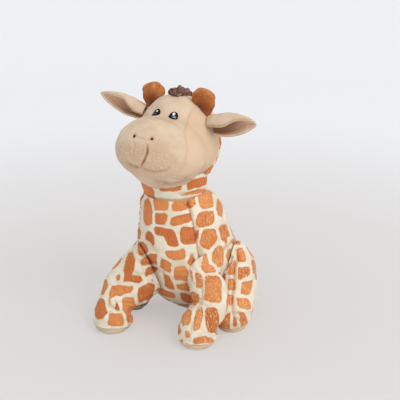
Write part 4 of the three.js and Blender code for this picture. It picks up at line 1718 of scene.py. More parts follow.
@dataclass(frozen=True)
class Torso:
    """Belly, side and seat covers, with the filling and the bag of pellets that they hold.

    Attributes:
        cloth: thickness of the plush.
        ease: how far the filling stands inside the cloth.
        seam_angle: degrees from the front to each side seam.
        seat_edge: height of the seam round the seat.
        collar: height at which the covers start to turn in under the neck.
        bend: radius of that turn.
        rows: rows of the covers' grid.
        column_angle: degrees from one column to the next.
        edge_columns: columns in which a cover's normals turn to its neighbour's, so that the seam stays shut.
        pellet_top: height of the pellets.
        filling_top: height of the filling.
    """

    cloth: float = 1.4
    ease: float = 1.3
    seam_angle: float = 50.0
    seat_edge: float = 1.75
    collar: float = 105.2
    bend: float = 3.2
    rows: int = 150
    column_angle: float = 1.2
    edge_columns: int = 5
    pellet_top: float = 30.0
    filling_top: float = 100.5

    def cover(self, low: float, high: float) -> tuple[Skin, Array]:
        """A sector of the covers: heights crowd at the seat, and a quarter turn closes the collar.

        Args:
            low: degrees of its first edge, from the front towards the left.
            high: degrees of its last edge.

        Returns:
            The skin, and its columns' angles in degrees.
        """
        turned_in, first_bend, last_bend, crowding, top = 22, 4, 100, 1.25, 107.0
        share = np.linspace(0, 1, self.rows - turned_in)
        rise = self.seat_edge + (self.collar - self.seat_edge) * share**crowding
        bend = np.radians(np.linspace(first_bend, last_bend, turned_in))
        height = np.concatenate([rise, self.collar + self.bend * np.sin(bend)])
        inset = np.concatenate([0 * rise, self.bend * (1 - np.cos(bend))])
        count = int(round((high - low) / self.column_angle)) + 1
        degrees = np.linspace(low, high, count)
        wide, deep, middle = TORSO.half_sizes(np.minimum(height, top))
        a = np.radians(degrees)[None, :]
        points = np.stack([
            (wide - inset)[:, None] * np.sin(a),
            middle[:, None] - (deep - inset)[:, None] * np.cos(a),
            height[:, None] + 0 * a,
        ], axis=-1)
        held = under_legs(points)
        held[0], held[height > self.collar - 4.0] = 1.0, 1.0
        held[:, [0, -1]] = 1.0
        skin = Skin(Stuffing().settled(points, False, held), False)
        from_edge = np.minimum(np.arange(count), np.arange(count)[::-1])[None, :, None]
        smooth = np.clip(1 - from_edge / self.edge_columns, 0, 1)
        skin.normals = unit(skin.normals * (1 - smooth) + grid_normals(points, closed=False) * smooth)
        return skin, degrees

    def seams(self, skin: Skin, degrees: Array, edges: tuple[float, float]) -> None:
        """Draws the skin in at its upright seams and at the seam round the seat.

        Args:
            skin: the cover.
            degrees: its columns' angles.
            edges: the upright seams' angles.
        """
        wide, deep, _ = TORSO.half_sizes(skin.points[..., 2])
        radius = np.sqrt(np.maximum(wide * deep, 1.0))
        for edge in edges:
            apart = np.abs((degrees[None, :] - edge + 180) % 360 - 180)
            skin.seam(np.radians(apart) * radius, skin.points[..., 2], depth=1.2)
        skin.seam(downward(skin.points), np.radians(degrees)[None, :] * radius, depth=0.7)

    def build_cover(self, name: str, edges: tuple[float, float], patches: Sequence[Patch], seed: int,
                    nap: float) -> None:
        """Makes one sewn cover of the torso.

        Args:
            name: its node.
            edges: degrees from the front of the seams that it lies between.
            patches: the print that the photograph shows on it.
            seed: picks the rest of the print.
            nap: how much the pile's streaks and their painted sheen show.
        """
        gap = 0.1
        skin, degrees = self.cover(edges[0] + gap, edges[1] - gap)
        skin.lumps(seed=31, large=0.9, small=0.42)
        self.seams(skin, degrees, edges)
        tucked, half_angle, lap, floor, collar = 2.2, 42.0, (26.0, 10.0), (0.5, 4.5), (106.0, 108.5)
        in_front = np.exp(-((((degrees + 180) % 360 - 180) / half_angle) ** 2))[None, :]
        level = skin.points[..., 2]
        skin.relief -= tucked * in_front * smooth_step(level, *lap) * smooth_step(level, *floor)
        skin.values["shade"] += 0.35 * smooth_step(level, *collar)
        for line in TORSO_CREASES:
            skin.crease(line)
        PRINT.paint(skin, patches, seed, nap)
        piece = shell(f"{name}_sewn", skin.outer(), skin.inner(self.cloth), skin.values, closed=False)
        dress(piece, Dye.PRINTED, name)
        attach(piece, "torso")

    def build_seat(self) -> None:
        """Makes the flat cover under the seat: level rings that shrink to the middle."""
        columns, rows = 200, 26
        edge, pole = self.seat_edge - 0.1, 0.02
        angle = full_turn(columns)[None, :]
        rim = TORSO.points(angle, np.full((1, 1), edge))
        share = np.linspace(pole, 1, rows)[:, None]
        centre = np.array([0.0, TORSO.middles[0], 0.0])
        level = edge * np.clip((share - 0.62) / 0.38, 0, 1) ** 2.4
        points = centre + (rim - centre) * np.concatenate([share, share, 0 * share], axis=1)[:, None, :]
        points[..., 2] = ABOVE_GROUND + level
        skin = Skin(points, True)
        skin.normals = np.zeros_like(points) - UP
        PRINT.paint(skin, (), seed=77, nap=0.2)
        top = points + [0.0, 0.0, self.cloth * 0.9]
        values = rows_of(skin.values, BACKWARDS)
        piece = shell("seat_panel_sewn", points[::-1], top[::-1], values, closed=True,
                      poles=(False, True))
        dress(piece, Dye.PRINTED, "seat_panel")
        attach(piece, "torso")

    def build_inside(self) -> None:
        """Makes the bag of pellets and the fibre filling."""
        inset = -(self.cloth + self.ease)
        rows, ends, bottom, gap = 30, (0.02, 0.98), 2.0, 0.8
        rounding, bluntness = 6.0, 8
        angle = full_turn(72)[None, :]
        for name, node, low, high, dye, lump in (
            ("pellet_bag_cloth", "pellet_bag", bottom, self.pellet_top, Dye.PELLETS, 0.7),
            ("torso_fibre", "torso_stuffing", self.pellet_top + gap, self.filling_top, Dye.FIBRE, 1.0),
        ):
            share = (1 - np.cos(np.pi * np.linspace(*ends, rows))) / 2
            height = (low + (high - low) * share)[:, None]
            drawn_in = rounding * np.abs(2 * share - 1) ** bluntness
            points = TORSO.points(angle, height, inset - gap)
            middle = points.mean(axis=1, keepdims=True)
            flat_part = (points - middle) * [1, 1, 0]
            reach = np.linalg.norm(flat_part, axis=-1, keepdims=True)
            points = points - flat_part / reach * np.minimum(drawn_in[:, None, None] + 0.6, 0.8 * reach)
            inward = lump * (lattice_noise(points, cell=5.0, seed=3) - 1) / 2
            points = points + unit(flat_part) * inward[..., None]
            piece = closed_form(name, points, blank(points))
            dress(piece, dye, node)
            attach(piece, "torso")

    def build(self) -> None:
        """Makes every piece of the torso."""
        seam = self.seam_angle
        in_front = BELLY_PATCHES + FORELEG_PATCHES[Side.RIGHT]
        # The painted sheen on the patches is strongest on the left side, which the lamp lights.
        self.build_cover("belly_panel", (-seam, seam), in_front, seed=11, nap=0.25)
        self.build_cover("side_panel_left", (seam, 180), SIDE_PATCHES, seed=12, nap=1.0)
        self.build_cover("side_panel_right", (180, 360 - seam), (), seed=13, nap=0.6)
        self.build_seat()
        self.build_inside()


# Neck

NECK_CREASES = (
    Crease((162.8, 162.4), (180, 193), 0.5, 0.7),
    Crease((176, 186, 197, 205), (194.5, 194, 191.5, 186.5), 0.9, 1),
    Crease((150, 158, 163), (190, 193, 193.5), 0.5, 1),
)


@dataclass(frozen=True)
class Neck:
    """The neck's cover, a dome that the head turns on, and its filling.

    Attributes:
        radius: of the dome.
        cloth: thickness of the plush.
        low: degrees below level at which the cover starts.
        rows: rows of its grid.
        columns: columns of its grid.
    """

    radius: float = 25.0
    cloth: float = 1.4
    low: float = 38.0
    rows: int = 96
    columns: int = 216

    def grid(self, radius: float, rows: int, columns: int, low: float) -> Array:
        """Rings of a ball about the neck's centre, from below its middle to its top.

        Args:
            radius: of the ball, in mm.
            rows: number of rings.
            columns: points in a ring.
            low: degrees below level of the first ring.

        Returns:
            Points with shape (rows, columns, 3).
        """
        last_ring = 88
        up = np.radians(np.linspace(-low, last_ring, rows))[:, None]
        angle = full_turn(columns)[None, :]
        ring = radius * np.cos(up)
        height = radius * np.sin(up) + 0 * angle
        return NECK_PIVOT + np.stack([ring * np.sin(angle), -ring * np.cos(angle), height], axis=-1)

    def build(self) -> None:
        """Makes the cover, which bends from the torso to the neck, and the filling."""
        skin = Skin(self.grid(self.radius, self.rows, self.columns, self.low), True)
        moved_over, shaded_over = (117.0, 110.0), (109.6, 107.6)
        below = smooth_step(skin.points[..., 2], *moved_over)
        skin.lumps(seed=41, large=0.7, small=0.35)
        skin.relief *= 0.15 + 0.85 * below
        skin.values["shade"] += 0.8 * smooth_step(skin.points[..., 2], *shaded_over)
        for line in NECK_CREASES:
            skin.crease(line)
        PRINT.paint(skin, NECK_PATCHES, seed=19, nap=0.35)
        piece = shell("neck_cover_sewn", skin.outer(), skin.inner(self.cloth), skin.values, closed=True,
                      poles=(False, True))
        dress(piece, Dye.PRINTED, "neck_cover")
        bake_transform(piece)
        core = self.grid(self.radius - 3.0, rows=30, columns=60, low=36.0)
        core += unit(core - NECK_PIVOT) * (0.5 * lattice_noise(core, cell=4.0, seed=5) - 0.4)[..., None]
        filling = closed_form("neck_fibre", core, blank(core))
        dress(filling, Dye.FIBRE, "neck_stuffing")
        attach(filling, "neck")


# Head

FACE_CREASES = (
    Crease((147.4, 147, 145, 142, 141), (143.5, 152, 158.5, 163.5, 168), 1.5, 0.8),
    Crease((126, 133, 141), (161.5, 166.8, 168), 1, 1.1),
    Crease((141, 148, 156, 165, 172), (168, 171, 172.8, 171.4, 166.5), 0.6, 1.1),
    Crease((133.6, 135.4), (141.5, 149), 0.5, 1.2),
    Crease((138.5, 137.5), (143, 149), 0.35, 1),
    Crease((153, 170, 180, 190), (179.5, 185.5, 183.5, 176), 0.8, 1.4),
    Crease((152, 161, 170), (181, 185.5, 185), 0.6, 1.3),
)
BOTH_CHEEKS = (
    Crease((197, 189.5, 187, 184.5, 186.5, 184, 176), (104, 112, 122, 132, 150, 165, 177),
           0.35, 0.9),
    Crease((137, 150, 163, 172, 184), (117, 116.2, 118.2, 121.5, 132), 0.3, 1.5),
)
LIP_CURLS = (147.0, 160.5, 33.0, 13.0)
MUZZLE_SHADE = (158.0, 147.0, 19.0, 7.5)
HEAD_RADIUS = 30.0
OVAL_POLE = 0.04
# Painted highlights of each eye: the white glint and the grey-blue one, each as its middle in mm across and
# up, then its half width and height, and last how strong the grey-blue one is.
EYE_SPOTS = {
    Side.LEFT: ((0.35, 1.35, 0.95, 1.3), (1.0, -1.5, 1.35, 0.95), 0.8),
    Side.RIGHT: ((0.3, 1.6, 0.7, 0.7), (1.0, -1.0, 0.9, 0.6), 0.3),
}
GREEN_SPOT = (0.1, -0.9, 1.9, 1.5)
NOSTRIL_THREAD = Crease((134.5, 140, 146, 152.6), (136, 138.2, 139.5, 138.6), 0.45, 0.55)


@dataclass(frozen=True)
class Mark:
    """A stitched mark on the face.

    Attributes:
        polar: degrees from the muzzle's axis.
        turn: degrees from the crown towards the left.
        width: mm across.
        tall: mm upwards.
    """

    polar: float
    turn: float
    width: float
    tall: float

    def frame_on_face(self) -> tuple[Array, Array, Array, Array]:
        """Its middle on the straight head, the normal there, and the directions across and up."""
        polar, turn, small = np.radians(self.polar), np.radians(self.turn), 1e-3
        at = [HEAD.directions(np.array(p), np.array(t)) for p, t in
              ((polar, turn), (polar + small, turn), (polar, turn + small))]
        middle, onward, around = (HEAD.heart + d * HEAD.reach(d) for d in at)
        normal = unit(np.cross(around - middle, onward - middle))
        across = unit(np.cross(UP, normal))
        return middle, normal, across, np.cross(normal, across)


def on_face(mark: Mark, across: Array, upward: Array, rise: Array) -> Array:
    """Points over the turned face.

    Args:
        mark: the stitched mark that they belong to.
        across: mm across from its middle.
        upward: mm up from its middle.
        rise: mm off the cloth.

    Returns:
        Points with one more axis than across.
    """
    middle, normal, right, up = mark.frame_on_face()
    near = middle + across[..., None] * right + upward[..., None] * up
    direction = unit(near - HEAD.heart)
    reach = HEAD.reach(direction)
    return HEAD.turned(HEAD.heart + direction * reach[..., None] + normal * rise[..., None])


@dataclass(frozen=True)
class Head:
    """Face and back covers, the filling and the embroidery.

    Attributes:
        cloth: thickness of the plush.
        columns: columns round the head.
        face_rows: rows of the face.
        back_rows: rows of the back.
        eye: an eye's place and size, for the left side.
        nostril: a nostril's place and size, for the left side.
        thread: how far the embroidery stands up.
        eye_shift: degrees that both eyes stand towards the toy's left.
        face_pole: share of the face's rows at which it closes to its pole.
        back_pole: the same for the back's.
    """

    cloth: float = 1.4
    columns: int = 288
    face_rows: int = 150
    back_rows: int = 84
    eye: Mark = Mark(75.8, 17.0, 7.0, 8.2)
    nostril: Mark = Mark(26.0, 29.3, 2.6, 2.6)
    thread: float = 0.9
    eye_shift: float = 1.2
    face_pole: float = 0.006
    back_pole: float = 0.985

    def cap(self, front: bool) -> tuple[Skin, Array]:
        """The grid of the face or of the back.

        Args:
            front: the face, from pole to seam, and otherwise the back, from seam to pole.

        Returns:
            The skin, and how far each of its points lies from the seam round the face, in mm.
        """
        turn = full_turn(self.columns)
        face_edge, back_edge = HEAD.edges(turn)
        if front:
            share = np.linspace(self.face_pole, 1, self.face_rows)[:, None]
            polar, apart = face_edge * share, (1 - share) * face_edge
        else:
            share = np.linspace(0, self.back_pole, self.back_rows)[:, None]
            polar, apart = back_edge + (np.pi - back_edge) * share, share * (np.pi - back_edge)
        return Skin(HEAD.points(polar, turn[None, :] + 0 * share), True), apart * HEAD_RADIUS

    def sew(self, skin: Skin, name: str, poles: tuple[bool, bool], dye: Dye) -> None:
        """Makes a cover from its skin, hollowed for the neck.

        Args:
            skin: the finished skin.
            name: its node.
            poles: whether its first and last rows close to a point.
            dye: its finish.
        """
        outer = clear_of_neck(skin.outer(), POCKET)
        inner = clear_of_neck(skin.inner(self.cloth), POCKET + 0.3)
        piece = shell(f"{name}_sewn", outer, inner, skin.values, closed=True, poles=poles)
        dress(piece, dye, name)
        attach(piece, "head")

    def marked(self, mark: Mark, side: Side) -> Mark:
        """A left-hand mark as it is on a side; the eyes both stand a little to the toy's left."""
        shift = self.eye_shift if mark is self.eye else 0.0
        return Mark(mark.polar, side.value * mark.turn + shift, mark.width, mark.tall)

    def mark_distance(self, skin: Skin, mark: Mark, side: Side) -> Array:
        """Distance in mm of the skin's points from a mark."""
        middle = HEAD.turned(self.marked(mark, side).frame_on_face()[0])
        return np.linalg.norm(skin.points - middle, axis=-1)

    def build_face(self) -> None:
        """Makes the face: soft lumps, the lip's cleft and mouth line, dimples and the panels' seams."""
        skin, apart_from_seam = self.cap(True)
        skin.lumps(seed=51, large=0.55, small=0.3)
        mirrored = CAMERA.project(HEAD.turned(HEAD.straightened(skin.points) * [-1.0, 1.0, 1.0]))
        own = skin.pixels
        nearer = smooth_step(skin.normals[..., 0], -0.35, 0.1)
        for pixels in (own, mirrored):
            skin.pixels = pixels
            for line in BOTH_CHEEKS:
                skin.crease(line)
        skin.pixels = own
        for line in (*FACE_CREASES, NOSTRIL_THREAD):
            skin.crease(line)
        for side in Side:
            apart = self.mark_distance(skin, self.eye, side)
            skin.relief *= smooth_step(apart, 3.0, 7.0)
            skin.relief -= 0.55 * np.exp(-((apart / 4.6) ** 2))
            apart = self.mark_distance(skin, self.nostril, side)
            skin.relief -= 1.25 * np.exp(-((apart / 1.9) ** 2))
            skin.values["shade"] += 0.7 * np.exp(-((apart / 1.5) ** 2))
        warm = np.zeros(skin.relief.shape)
        curl = np.zeros(skin.relief.shape)
        cheek = BOTH_CHEEKS[0]
        for pixels, there in ((own, nearer), (mirrored, 1 - nearer)):
            border = np.interp(pixels[..., 1], cheek.y, cheek.x)
            warm = np.maximum(warm, there * smooth_step(pixels[..., 0] - border, -1.0, 1.5))
            curl = np.maximum(curl, smooth_step(from_spot(pixels, LIP_CURLS), 1.35, 0.3))
        over_lip = np.exp(-from_spot(own, MUZZLE_SHADE))
        warm = np.maximum(warm, 0.8 * over_lip)
        skin.values["shade"] += 0.22 * over_lip
        skin.values["warm"], skin.values["curl"] = warm, curl
        skin.relief += curl * 0.22 * lattice_noise(skin.points, cell=1.9, seed=57)
        skin.seam(apart_from_seam, skin.points[..., 2], depth=1.1)
        self.sew(skin, "face_cover", (True, False), Dye.BEIGE)

    def build_back(self) -> None:
        """Makes the printed back of the head, with the seam down its middle."""
        skin, apart_from_seam = self.cap(False)
        skin.lumps(seed=61, large=0.6, small=0.35)
        skin.seam(apart_from_seam, skin.points[..., 2], depth=1.1)
        from_middle = np.abs(skin.points[..., 0] + 0.03 * (skin.points[..., 1] + 46))
        skin.seam(from_middle, skin.points[..., 2], depth=0.7)
        PRINT.paint(skin, (), seed=23, nap=0.6)
        skin.values["print"] -= 8.0 * smooth_step(skin.points[..., 2], 167.0, 171.0)
        self.sew(skin, "head_back_cover", (False, True), Dye.PRINTED)

    def build_filling(self) -> None:
        """Makes the head's filling, hollowed for the neck: the shorter of two rays from a high core."""
        core, rings, columns = np.array([0.0, -58.0, 152.0]), 44, 72
        pole, inset, clearance, ease, never = 0.03, -3.2, 2.6, 0.5, 1e3
        polar = np.linspace(pole, np.pi - pole, rings)[:, None]
        d = HEAD.directions(polar, full_turn(columns)[None, :])
        reach = HEAD.reach(d, inset, core)
        from_neck = core - NECK_PIVOT
        b = d @ from_neck
        c = from_neck @ from_neck - (POCKET + clearance) ** 2
        root = b * b - c
        to_neck = np.where((root > 0) & (b < 0), -b - np.sqrt(np.maximum(root, 0)), never)
        reach = np.minimum(reach, np.maximum(to_neck, 1.0)) - ease
        points = core + d * reach[..., None]
        piece = closed_form("head_fibre", HEAD.turned(points), blank(points))
        dress(piece, Dye.FIBRE, "head_stuffing")
        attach(piece, "head")

    def oval(self, mark: Mark, outline: Array, rows: int, rise: Array) -> Array:
        """Rings of an embroidered oval, from its middle to its outline and down into the cloth.

        Args:
            mark: its place.
            outline: share of its radius at each angle from its right-hand end, anticlockwise.
            rows: number of rings.
            rise: mm off the cloth at each ring.

        Returns:
            mm across and up, and the points.
        """
        share = np.linspace(OVAL_POLE, 1, rows)[:, None] * outline[None, :]
        angle = full_turn(len(outline))[None, :]
        across = share * np.cos(angle) * mark.width / 2
        upward = share * np.sin(angle) * mark.tall / 2
        points = on_face(mark, across, upward, rise[:, None] + 0 * share)
        return np.stack([across, upward], axis=-1), points

    def build_mark(self, name: str, points: Array, values: dict[str, Array], dye: Dye) -> None:
        """Closes an oval with a back inside the cloth and dresses it.

        Args:
            name: its node.
            points: its rings, from the middle out.
            values: their attributes.
            dye: its finish.
        """
        back = points.mean(axis=1, keepdims=True)
        last = points[-1:] * 0.5 + back[-1:] * 0.5
        grid = np.concatenate([points, last])
        extra = {k: np.concatenate([v, v[-1:]])[::-1] for k, v in values.items()}
        piece = closed_form(f"{name}_thread", grid[::-1], extra)
        dress(piece, dye, name)
        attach(piece, "head")

    def build_eye(self, side: Side) -> None:
        """Makes an eye: a domed oval of satin stitch with its green thread and a painted highlight in white
        and grey-blue.

        Args:
            side: which side of the toy.
        """
        mark = self.marked(self.eye, side)
        angle = full_turn(96)
        slant = np.cos(angle + np.radians(118 if side is Side.LEFT else 78))
        outline = 1.0 - 0.13 * np.clip(slant, 0, 1) ** 2 + 0.05 * np.cos(2 * angle + 0.6)
        rows = 40
        share = np.linspace(OVAL_POLE, 1, rows)
        rise = -0.75 + (self.thread + 0.75) * np.sqrt(np.clip(1 - share**3.2, 0, 1))
        places, points = self.oval(mark, outline, rows, rise)
        glint, blue, blueness = EYE_SPOTS[side]
        values = {
            "glint": smooth_step(from_spot(places, glint), 1.15, 0.8),
            "blue": smooth_step(from_spot(places, blue), 1.15, 0.75) * blueness,
            "green": smooth_step(from_spot(places, GREEN_SPOT), 1.2, 0.7),
        }
        self.build_mark(f"eye_{side.label}", points, values, Dye.THREAD)

    def build_nostril(self, side: Side) -> None:
        """Makes a nostril: a small knot of brown thread pulled into its dimple.

        Args:
            side: which side of the toy.
        """
        mark = self.marked(self.nostril, side)
        rows = 16
        share = np.linspace(OVAL_POLE, 1, rows)
        rise = -1.6 + 1.25 * np.sqrt(np.clip(1 - share**2.5, 0, 1))
        outline = 1 + 0.08 * np.cos(3 * full_turn(48))
        _, points = self.oval(mark, outline, rows, rise)
        self.build_mark(f"nostril_{side.label}", points, blank(points), Dye.BROWN)

    def build_mouth(self) -> None:
        """Makes the thread that is pulled into the lip's cleft."""
        top, bottom, top_left, bottom_left = 17, -12, 5.3, 1.6
        sunk, thick = 1.35, (0.2, 0.25, 0.2)
        t = np.linspace(0, 1, 7)
        polar = np.radians(top + (bottom - top) * t)
        d = HEAD.directions(polar, 0 * polar)
        near = HEAD.heart + d * HEAD.reach(d)[:, None]
        near[:, 0] += top_left + (bottom_left - top_left) * t
        direction = unit(near - HEAD.heart)
        route = Route(HEAD.at(direction, HEAD.reach(direction) - sunk))
        rings = ellipse_rings(route, thick, thick, rows=60, columns=10)
        piece = closed_form("mouth_stitch_thread", rings, blank(rings))
        dress(piece, Dye.BROWN, "mouth_stitch")
        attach(piece, "head")

    def build(self) -> None:
        """Makes every piece of the head but its horns, ears and mane."""
        self.build_face()
        self.build_back()
        self.build_filling()
        for side in Side:
            self.build_eye(side)
            self.build_nostril(side)
        self.build_mouth()


def out_of_head(points: Array, clearance: float = 0.55) -> Array:
    """Points inside the head, moved straight out from its core to its surface and a clearance.

    Args:
        points: places in mm, in the turned head's frame.
        clearance: mm off the surface.

    Returns:
        The moved points.
    """
    away = HEAD.straightened(points) - HEAD.heart
    direction = unit(away)
    return HEAD.at(direction, np.maximum(np.linalg.norm(away, axis=-1), HEAD.reach(direction) + clearance))


@dataclass(frozen=True)
class Horn:
    """A stuffed paddle of rust plush on the crown.

    Attributes:
        side: which side of the toy.
        spacing: mm between the two tops.
        lean: how much further out the top stands than the foot.
        foot: fore-and-aft place and height of its foot.
        height: mm from foot to top.
        width: mm.
        thickness: mm.
    """

    side: Side
    spacing: float = 46.4
    lean: float = 3.5
    foot: tuple[float, float] = (-40.5, 165.0)
    height: float = 21.0
    width: float = 19.0
    thickness: float = 11.0

    def build(self) -> None:
        """Makes the horn, with the seam round its edge."""
        s = self.side.value
        base = np.array([s * (self.spacing / 2 - self.lean), *self.foot])
        top = base + [s * self.lean, 0.0, self.height]
        knots = HEAD.turned(np.stack([base, (base + top) / 2, top]))
        wide = np.array([0.36, 0.47, 0.5, 0.47]) * self.width
        deep = np.array([0.42, 0.5, 0.46, 0.4]) * self.thickness
        columns = 110
        skin = Skin(ellipse_rings(Route(knots), wide, deep, rows=96, columns=columns, bluntness=3.1), True)
        skin.lumps(seed=70 + s, large=0.4, small=0.26)
        turn = 2 * np.pi * np.arange(columns) / columns
        edge = np.minimum(np.abs(np.sin(turn)), 1.0)[None, :] * self.thickness / 2
        skin.seam(edge + 0 * skin.relief, skin.points[..., 2], depth=0.45)
        hollow_heights, hollow_depth = (186.0, 173.0), 2.2
        low = smooth_step(skin.points[..., 2], *hollow_heights)
        hollow = np.clip(-np.sin(turn), 0, 1) ** 2 * low
        skin.relief -= hollow_depth * hollow
        skin.values["shade"] = np.clip(skin.values["shade"] * 0.4 + 0.3 * low + 0.65 * hollow, 0, 1)
        body = f"horn_{self.side.label}"
        points = swept_clear(skin.outer(), body, out_of_head)
        piece = closed_form(f"{body}_plush", points, skin.values)
        dress(piece, Dye.RUST, body)
        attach(piece, body)


@dataclass(frozen=True)
class Ear:
    """A leaf of beige plush with a darker lining, folded lengthwise and open to the front.

    Attributes:
        side: which side of the toy.
        rise: degrees up from level.
        base: its root on the straight head, for the left side.
        length: mm.
        half_height: mm.
        half_depth: mm.
        sweep: degrees forward.
        root: share of its full size at the root.
        opens: shares of the length between which the upper lip lifts off the lower one.
        over: degrees from the fold to the upper lip, at the tip.
        droop: degrees by which the upper lip hangs lower at the root.
        under: degrees from the fold to the lower lip.
        cloth: thickness of the outer.
        lining: thickness of the lining.
    """

    side: Side
    rise: float
    opens: tuple[float, float]
    base: Point = (28.5, -42.0, 161.0)
    length: float = 41.0
    half_height: float = 9.0
    half_depth: float = 6.5
    sweep: float = 6.0
    root: float = 0.72
    over: float = 128.0
    droop: float = 60.0
    under: float = 112.0
    cloth: float = 1.7
    lining: float = 1.0

    def sheet(self, inset: float, hem: float, rows: int = 84, columns: int = 120) -> Array:
        """A C-shaped section along the ear, whose size is sqrt(1 - s^2.6) times its swell.

        Args:
            inset: mm inside the ear's outer face.
            hem: degrees by which it ends short of both lips.
            rows: rows along the ear.
            columns: columns from the upper lip round the fold to the lower one.

        Returns:
            Points with shape (rows, columns, 3).
        """
        s = self.side.value
        rise = np.radians(self.rise)
        along = unit(np.array([s * np.cos(rise), -np.sin(np.radians(self.sweep)), np.sin(rise)]))
        back = unit(np.array([0.0, 1.0, 0.0]) - along[1] * along)
        over = unit(-s * np.cross(back, along))
        share = np.linspace(0, 1, rows)[:, None] ** 0.9 * 0.995
        swell = self.root + 4 * (1.02 - self.root) * share * (1 - share)
        leaf = np.sqrt(1 - share**2.6) * swell
        first = self.over + self.droop * smooth_step(share, *self.opens[::-1]) - hem
        turn = np.radians(first - (first + self.under - hem) * np.linspace(0, 1, columns)[None, :])
        deep = np.maximum(self.half_depth * leaf - inset, 0.15)
        tall = np.maximum(self.half_height * leaf - inset, 0.15)
        tucked = 1.0 - 0.12 * smooth_step(np.degrees(turn), 95.0, 140.0)
        base = np.array([s * self.base[0], *self.base[1:]])
        points = (base + along * (share * (self.length - inset) + 0 * turn)[..., None]
                  + back * (deep * np.cos(turn))[..., None]
                  + over * (tall * np.sin(turn) * tucked)[..., None])
        return HEAD.turned(points)

    def build(self) -> None:
        """Makes the outer and the lining, each a closed fold of cloth."""
        body = f"ear_{self.side.label}"
        for part, inset, thick, hem, dye in (("outer", 0.0, self.cloth, 0.0, Dye.BEIGE),
                                             ("lining", self.cloth + 0.15, self.lining, 5.0, Dye.LINING)):
            first, second = self.sheet(inset, hem), self.sheet(inset + thick, hem)
            lip = np.linspace(-1, 1, first.shape[1])[None, :]
            edge_from, edge_width, thinnest = 0.955, 0.045, 0.02
            into_edge = np.clip((np.abs(lip) - edge_from) / edge_width, 0, 1)
            rounded = np.sqrt(np.clip(1 - into_edge ** 2, thinnest, 1))
            middle = (first + second) / 2
            half = (first - second) / 2 * rounded[..., None]
            ripple = (0.35 * lattice_noise(middle, cell=9.0, seed=81)
                      + 0.16 * lattice_noise(middle, cell=3.2, seed=82))
            wave = unit(first - second) * ripple[..., None]
            flip = self.side is Side.RIGHT
            grids = []
            for grid in (middle + half + wave, middle - half + wave):
                cleared = swept_clear(grid, body, out_of_head)
                grids.append(cleared[:, ::-1] if flip else cleared)
            near_lip = smooth_step(np.abs(lip), 0.86, 0.93) * (1 - smooth_step(np.abs(lip), 0.93, 0.99))
            length_share = np.linspace(0, 1, first.shape[0])[:, None]
            inside = 0.8 * smooth_step(length_share, 0.8, 0.1) if dye is Dye.LINING else 0.0
            shade = np.maximum(0.5 * near_lip, inside) + 0 * ripple
            values = {"shade": shade[:, ::-1] if flip else shade, "warm": 0 * ripple, "curl": 0 * ripple}
            piece = shell(f"{body}_{part}_sewn", grids[0][::-1], grids[1][::-1],
                          rows_of(values, BACKWARDS), closed=False)
            dress(piece, dye, f"{body}_{part}")
            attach(piece, body)


def ears() -> tuple[Ear, ...]:
    """The two ears; the right one is set a little higher, and is steeper and slimmer."""
    return (Ear(Side.LEFT, rise=9.0, opens=(0.34, 0.86)),
            Ear(Side.RIGHT, rise=16.5, opens=(0.14, 0.52), base=(28.5, -42.0, 162.2), half_height=7.9))


# Legs

LEG_CREASES = {
    "foreleg_left": (
        Crease((193, 202, 201.5, 197, 191.5, 188.5), (268, 277, 300, 309, 329, 343), 0.8, 0.9),
        Crease((203, 210, 216), (273, 275.5, 276), 0.6, 1.2),
        Crease((200, 207, 213), (303, 306, 305), 0.5, 1.2),
        Crease((186, 191, 196), (306, 307.5, 306.5), 0.4, 1),
    ),
    "foreleg_right": (
        Crease((136, 143, 151, 159), (252, 256.5, 257.5, 255), 1.4, 1.1),
        Crease((141, 148, 154, 159.5), (256, 253, 253.6, 252), -0.8, 1.1),
        Crease((140, 148, 158), (247, 249, 251.5), 0.9, 1),
        Crease((143, 151, 159), (263.5, 261, 256.5), 1.1, 1),
        Crease((147, 153, 159), (267, 262.5, 256.5), -0.5, 1),
        Crease((150, 155.5, 160), (270, 264, 257), 1, 1),
        Crease((131, 139, 147), (271, 275, 273), 0.6, 1.4),
        Crease((107, 112, 118.5), (304, 307.5, 309.5), 1, 1),
        Crease((114.5, 116.5, 118), (299, 304, 309), 0.8, 0.8),
        Crease((120, 124, 127.5), (286, 290.5, 293.5), 0.6, 1.1),
        Crease((103, 108, 112), (312, 313.5, 311), 0.6, 1),
        Crease((137, 141.5, 144.5), (300, 306, 309), 0.5, 1.1),
    ),
    "hindleg_left": (
        Crease((236.5, 238, 234.6, 234, 232.2, 232.8, 235.8, 237),
               (246, 257, 269, 283, 298, 312, 321, 331), 1.3, 1),
        Crease((233, 236, 240), (311, 313.5, 312), 0.9, 0.9),
        Crease((236, 240, 244), (318, 320.5, 320), 0.8, 0.9),
        Crease((229, 233), (256, 259), 0.8, 1),
        Crease((238, 243), (262, 261), 0.6, 1),
    ),
    "hindleg_right": (),
}


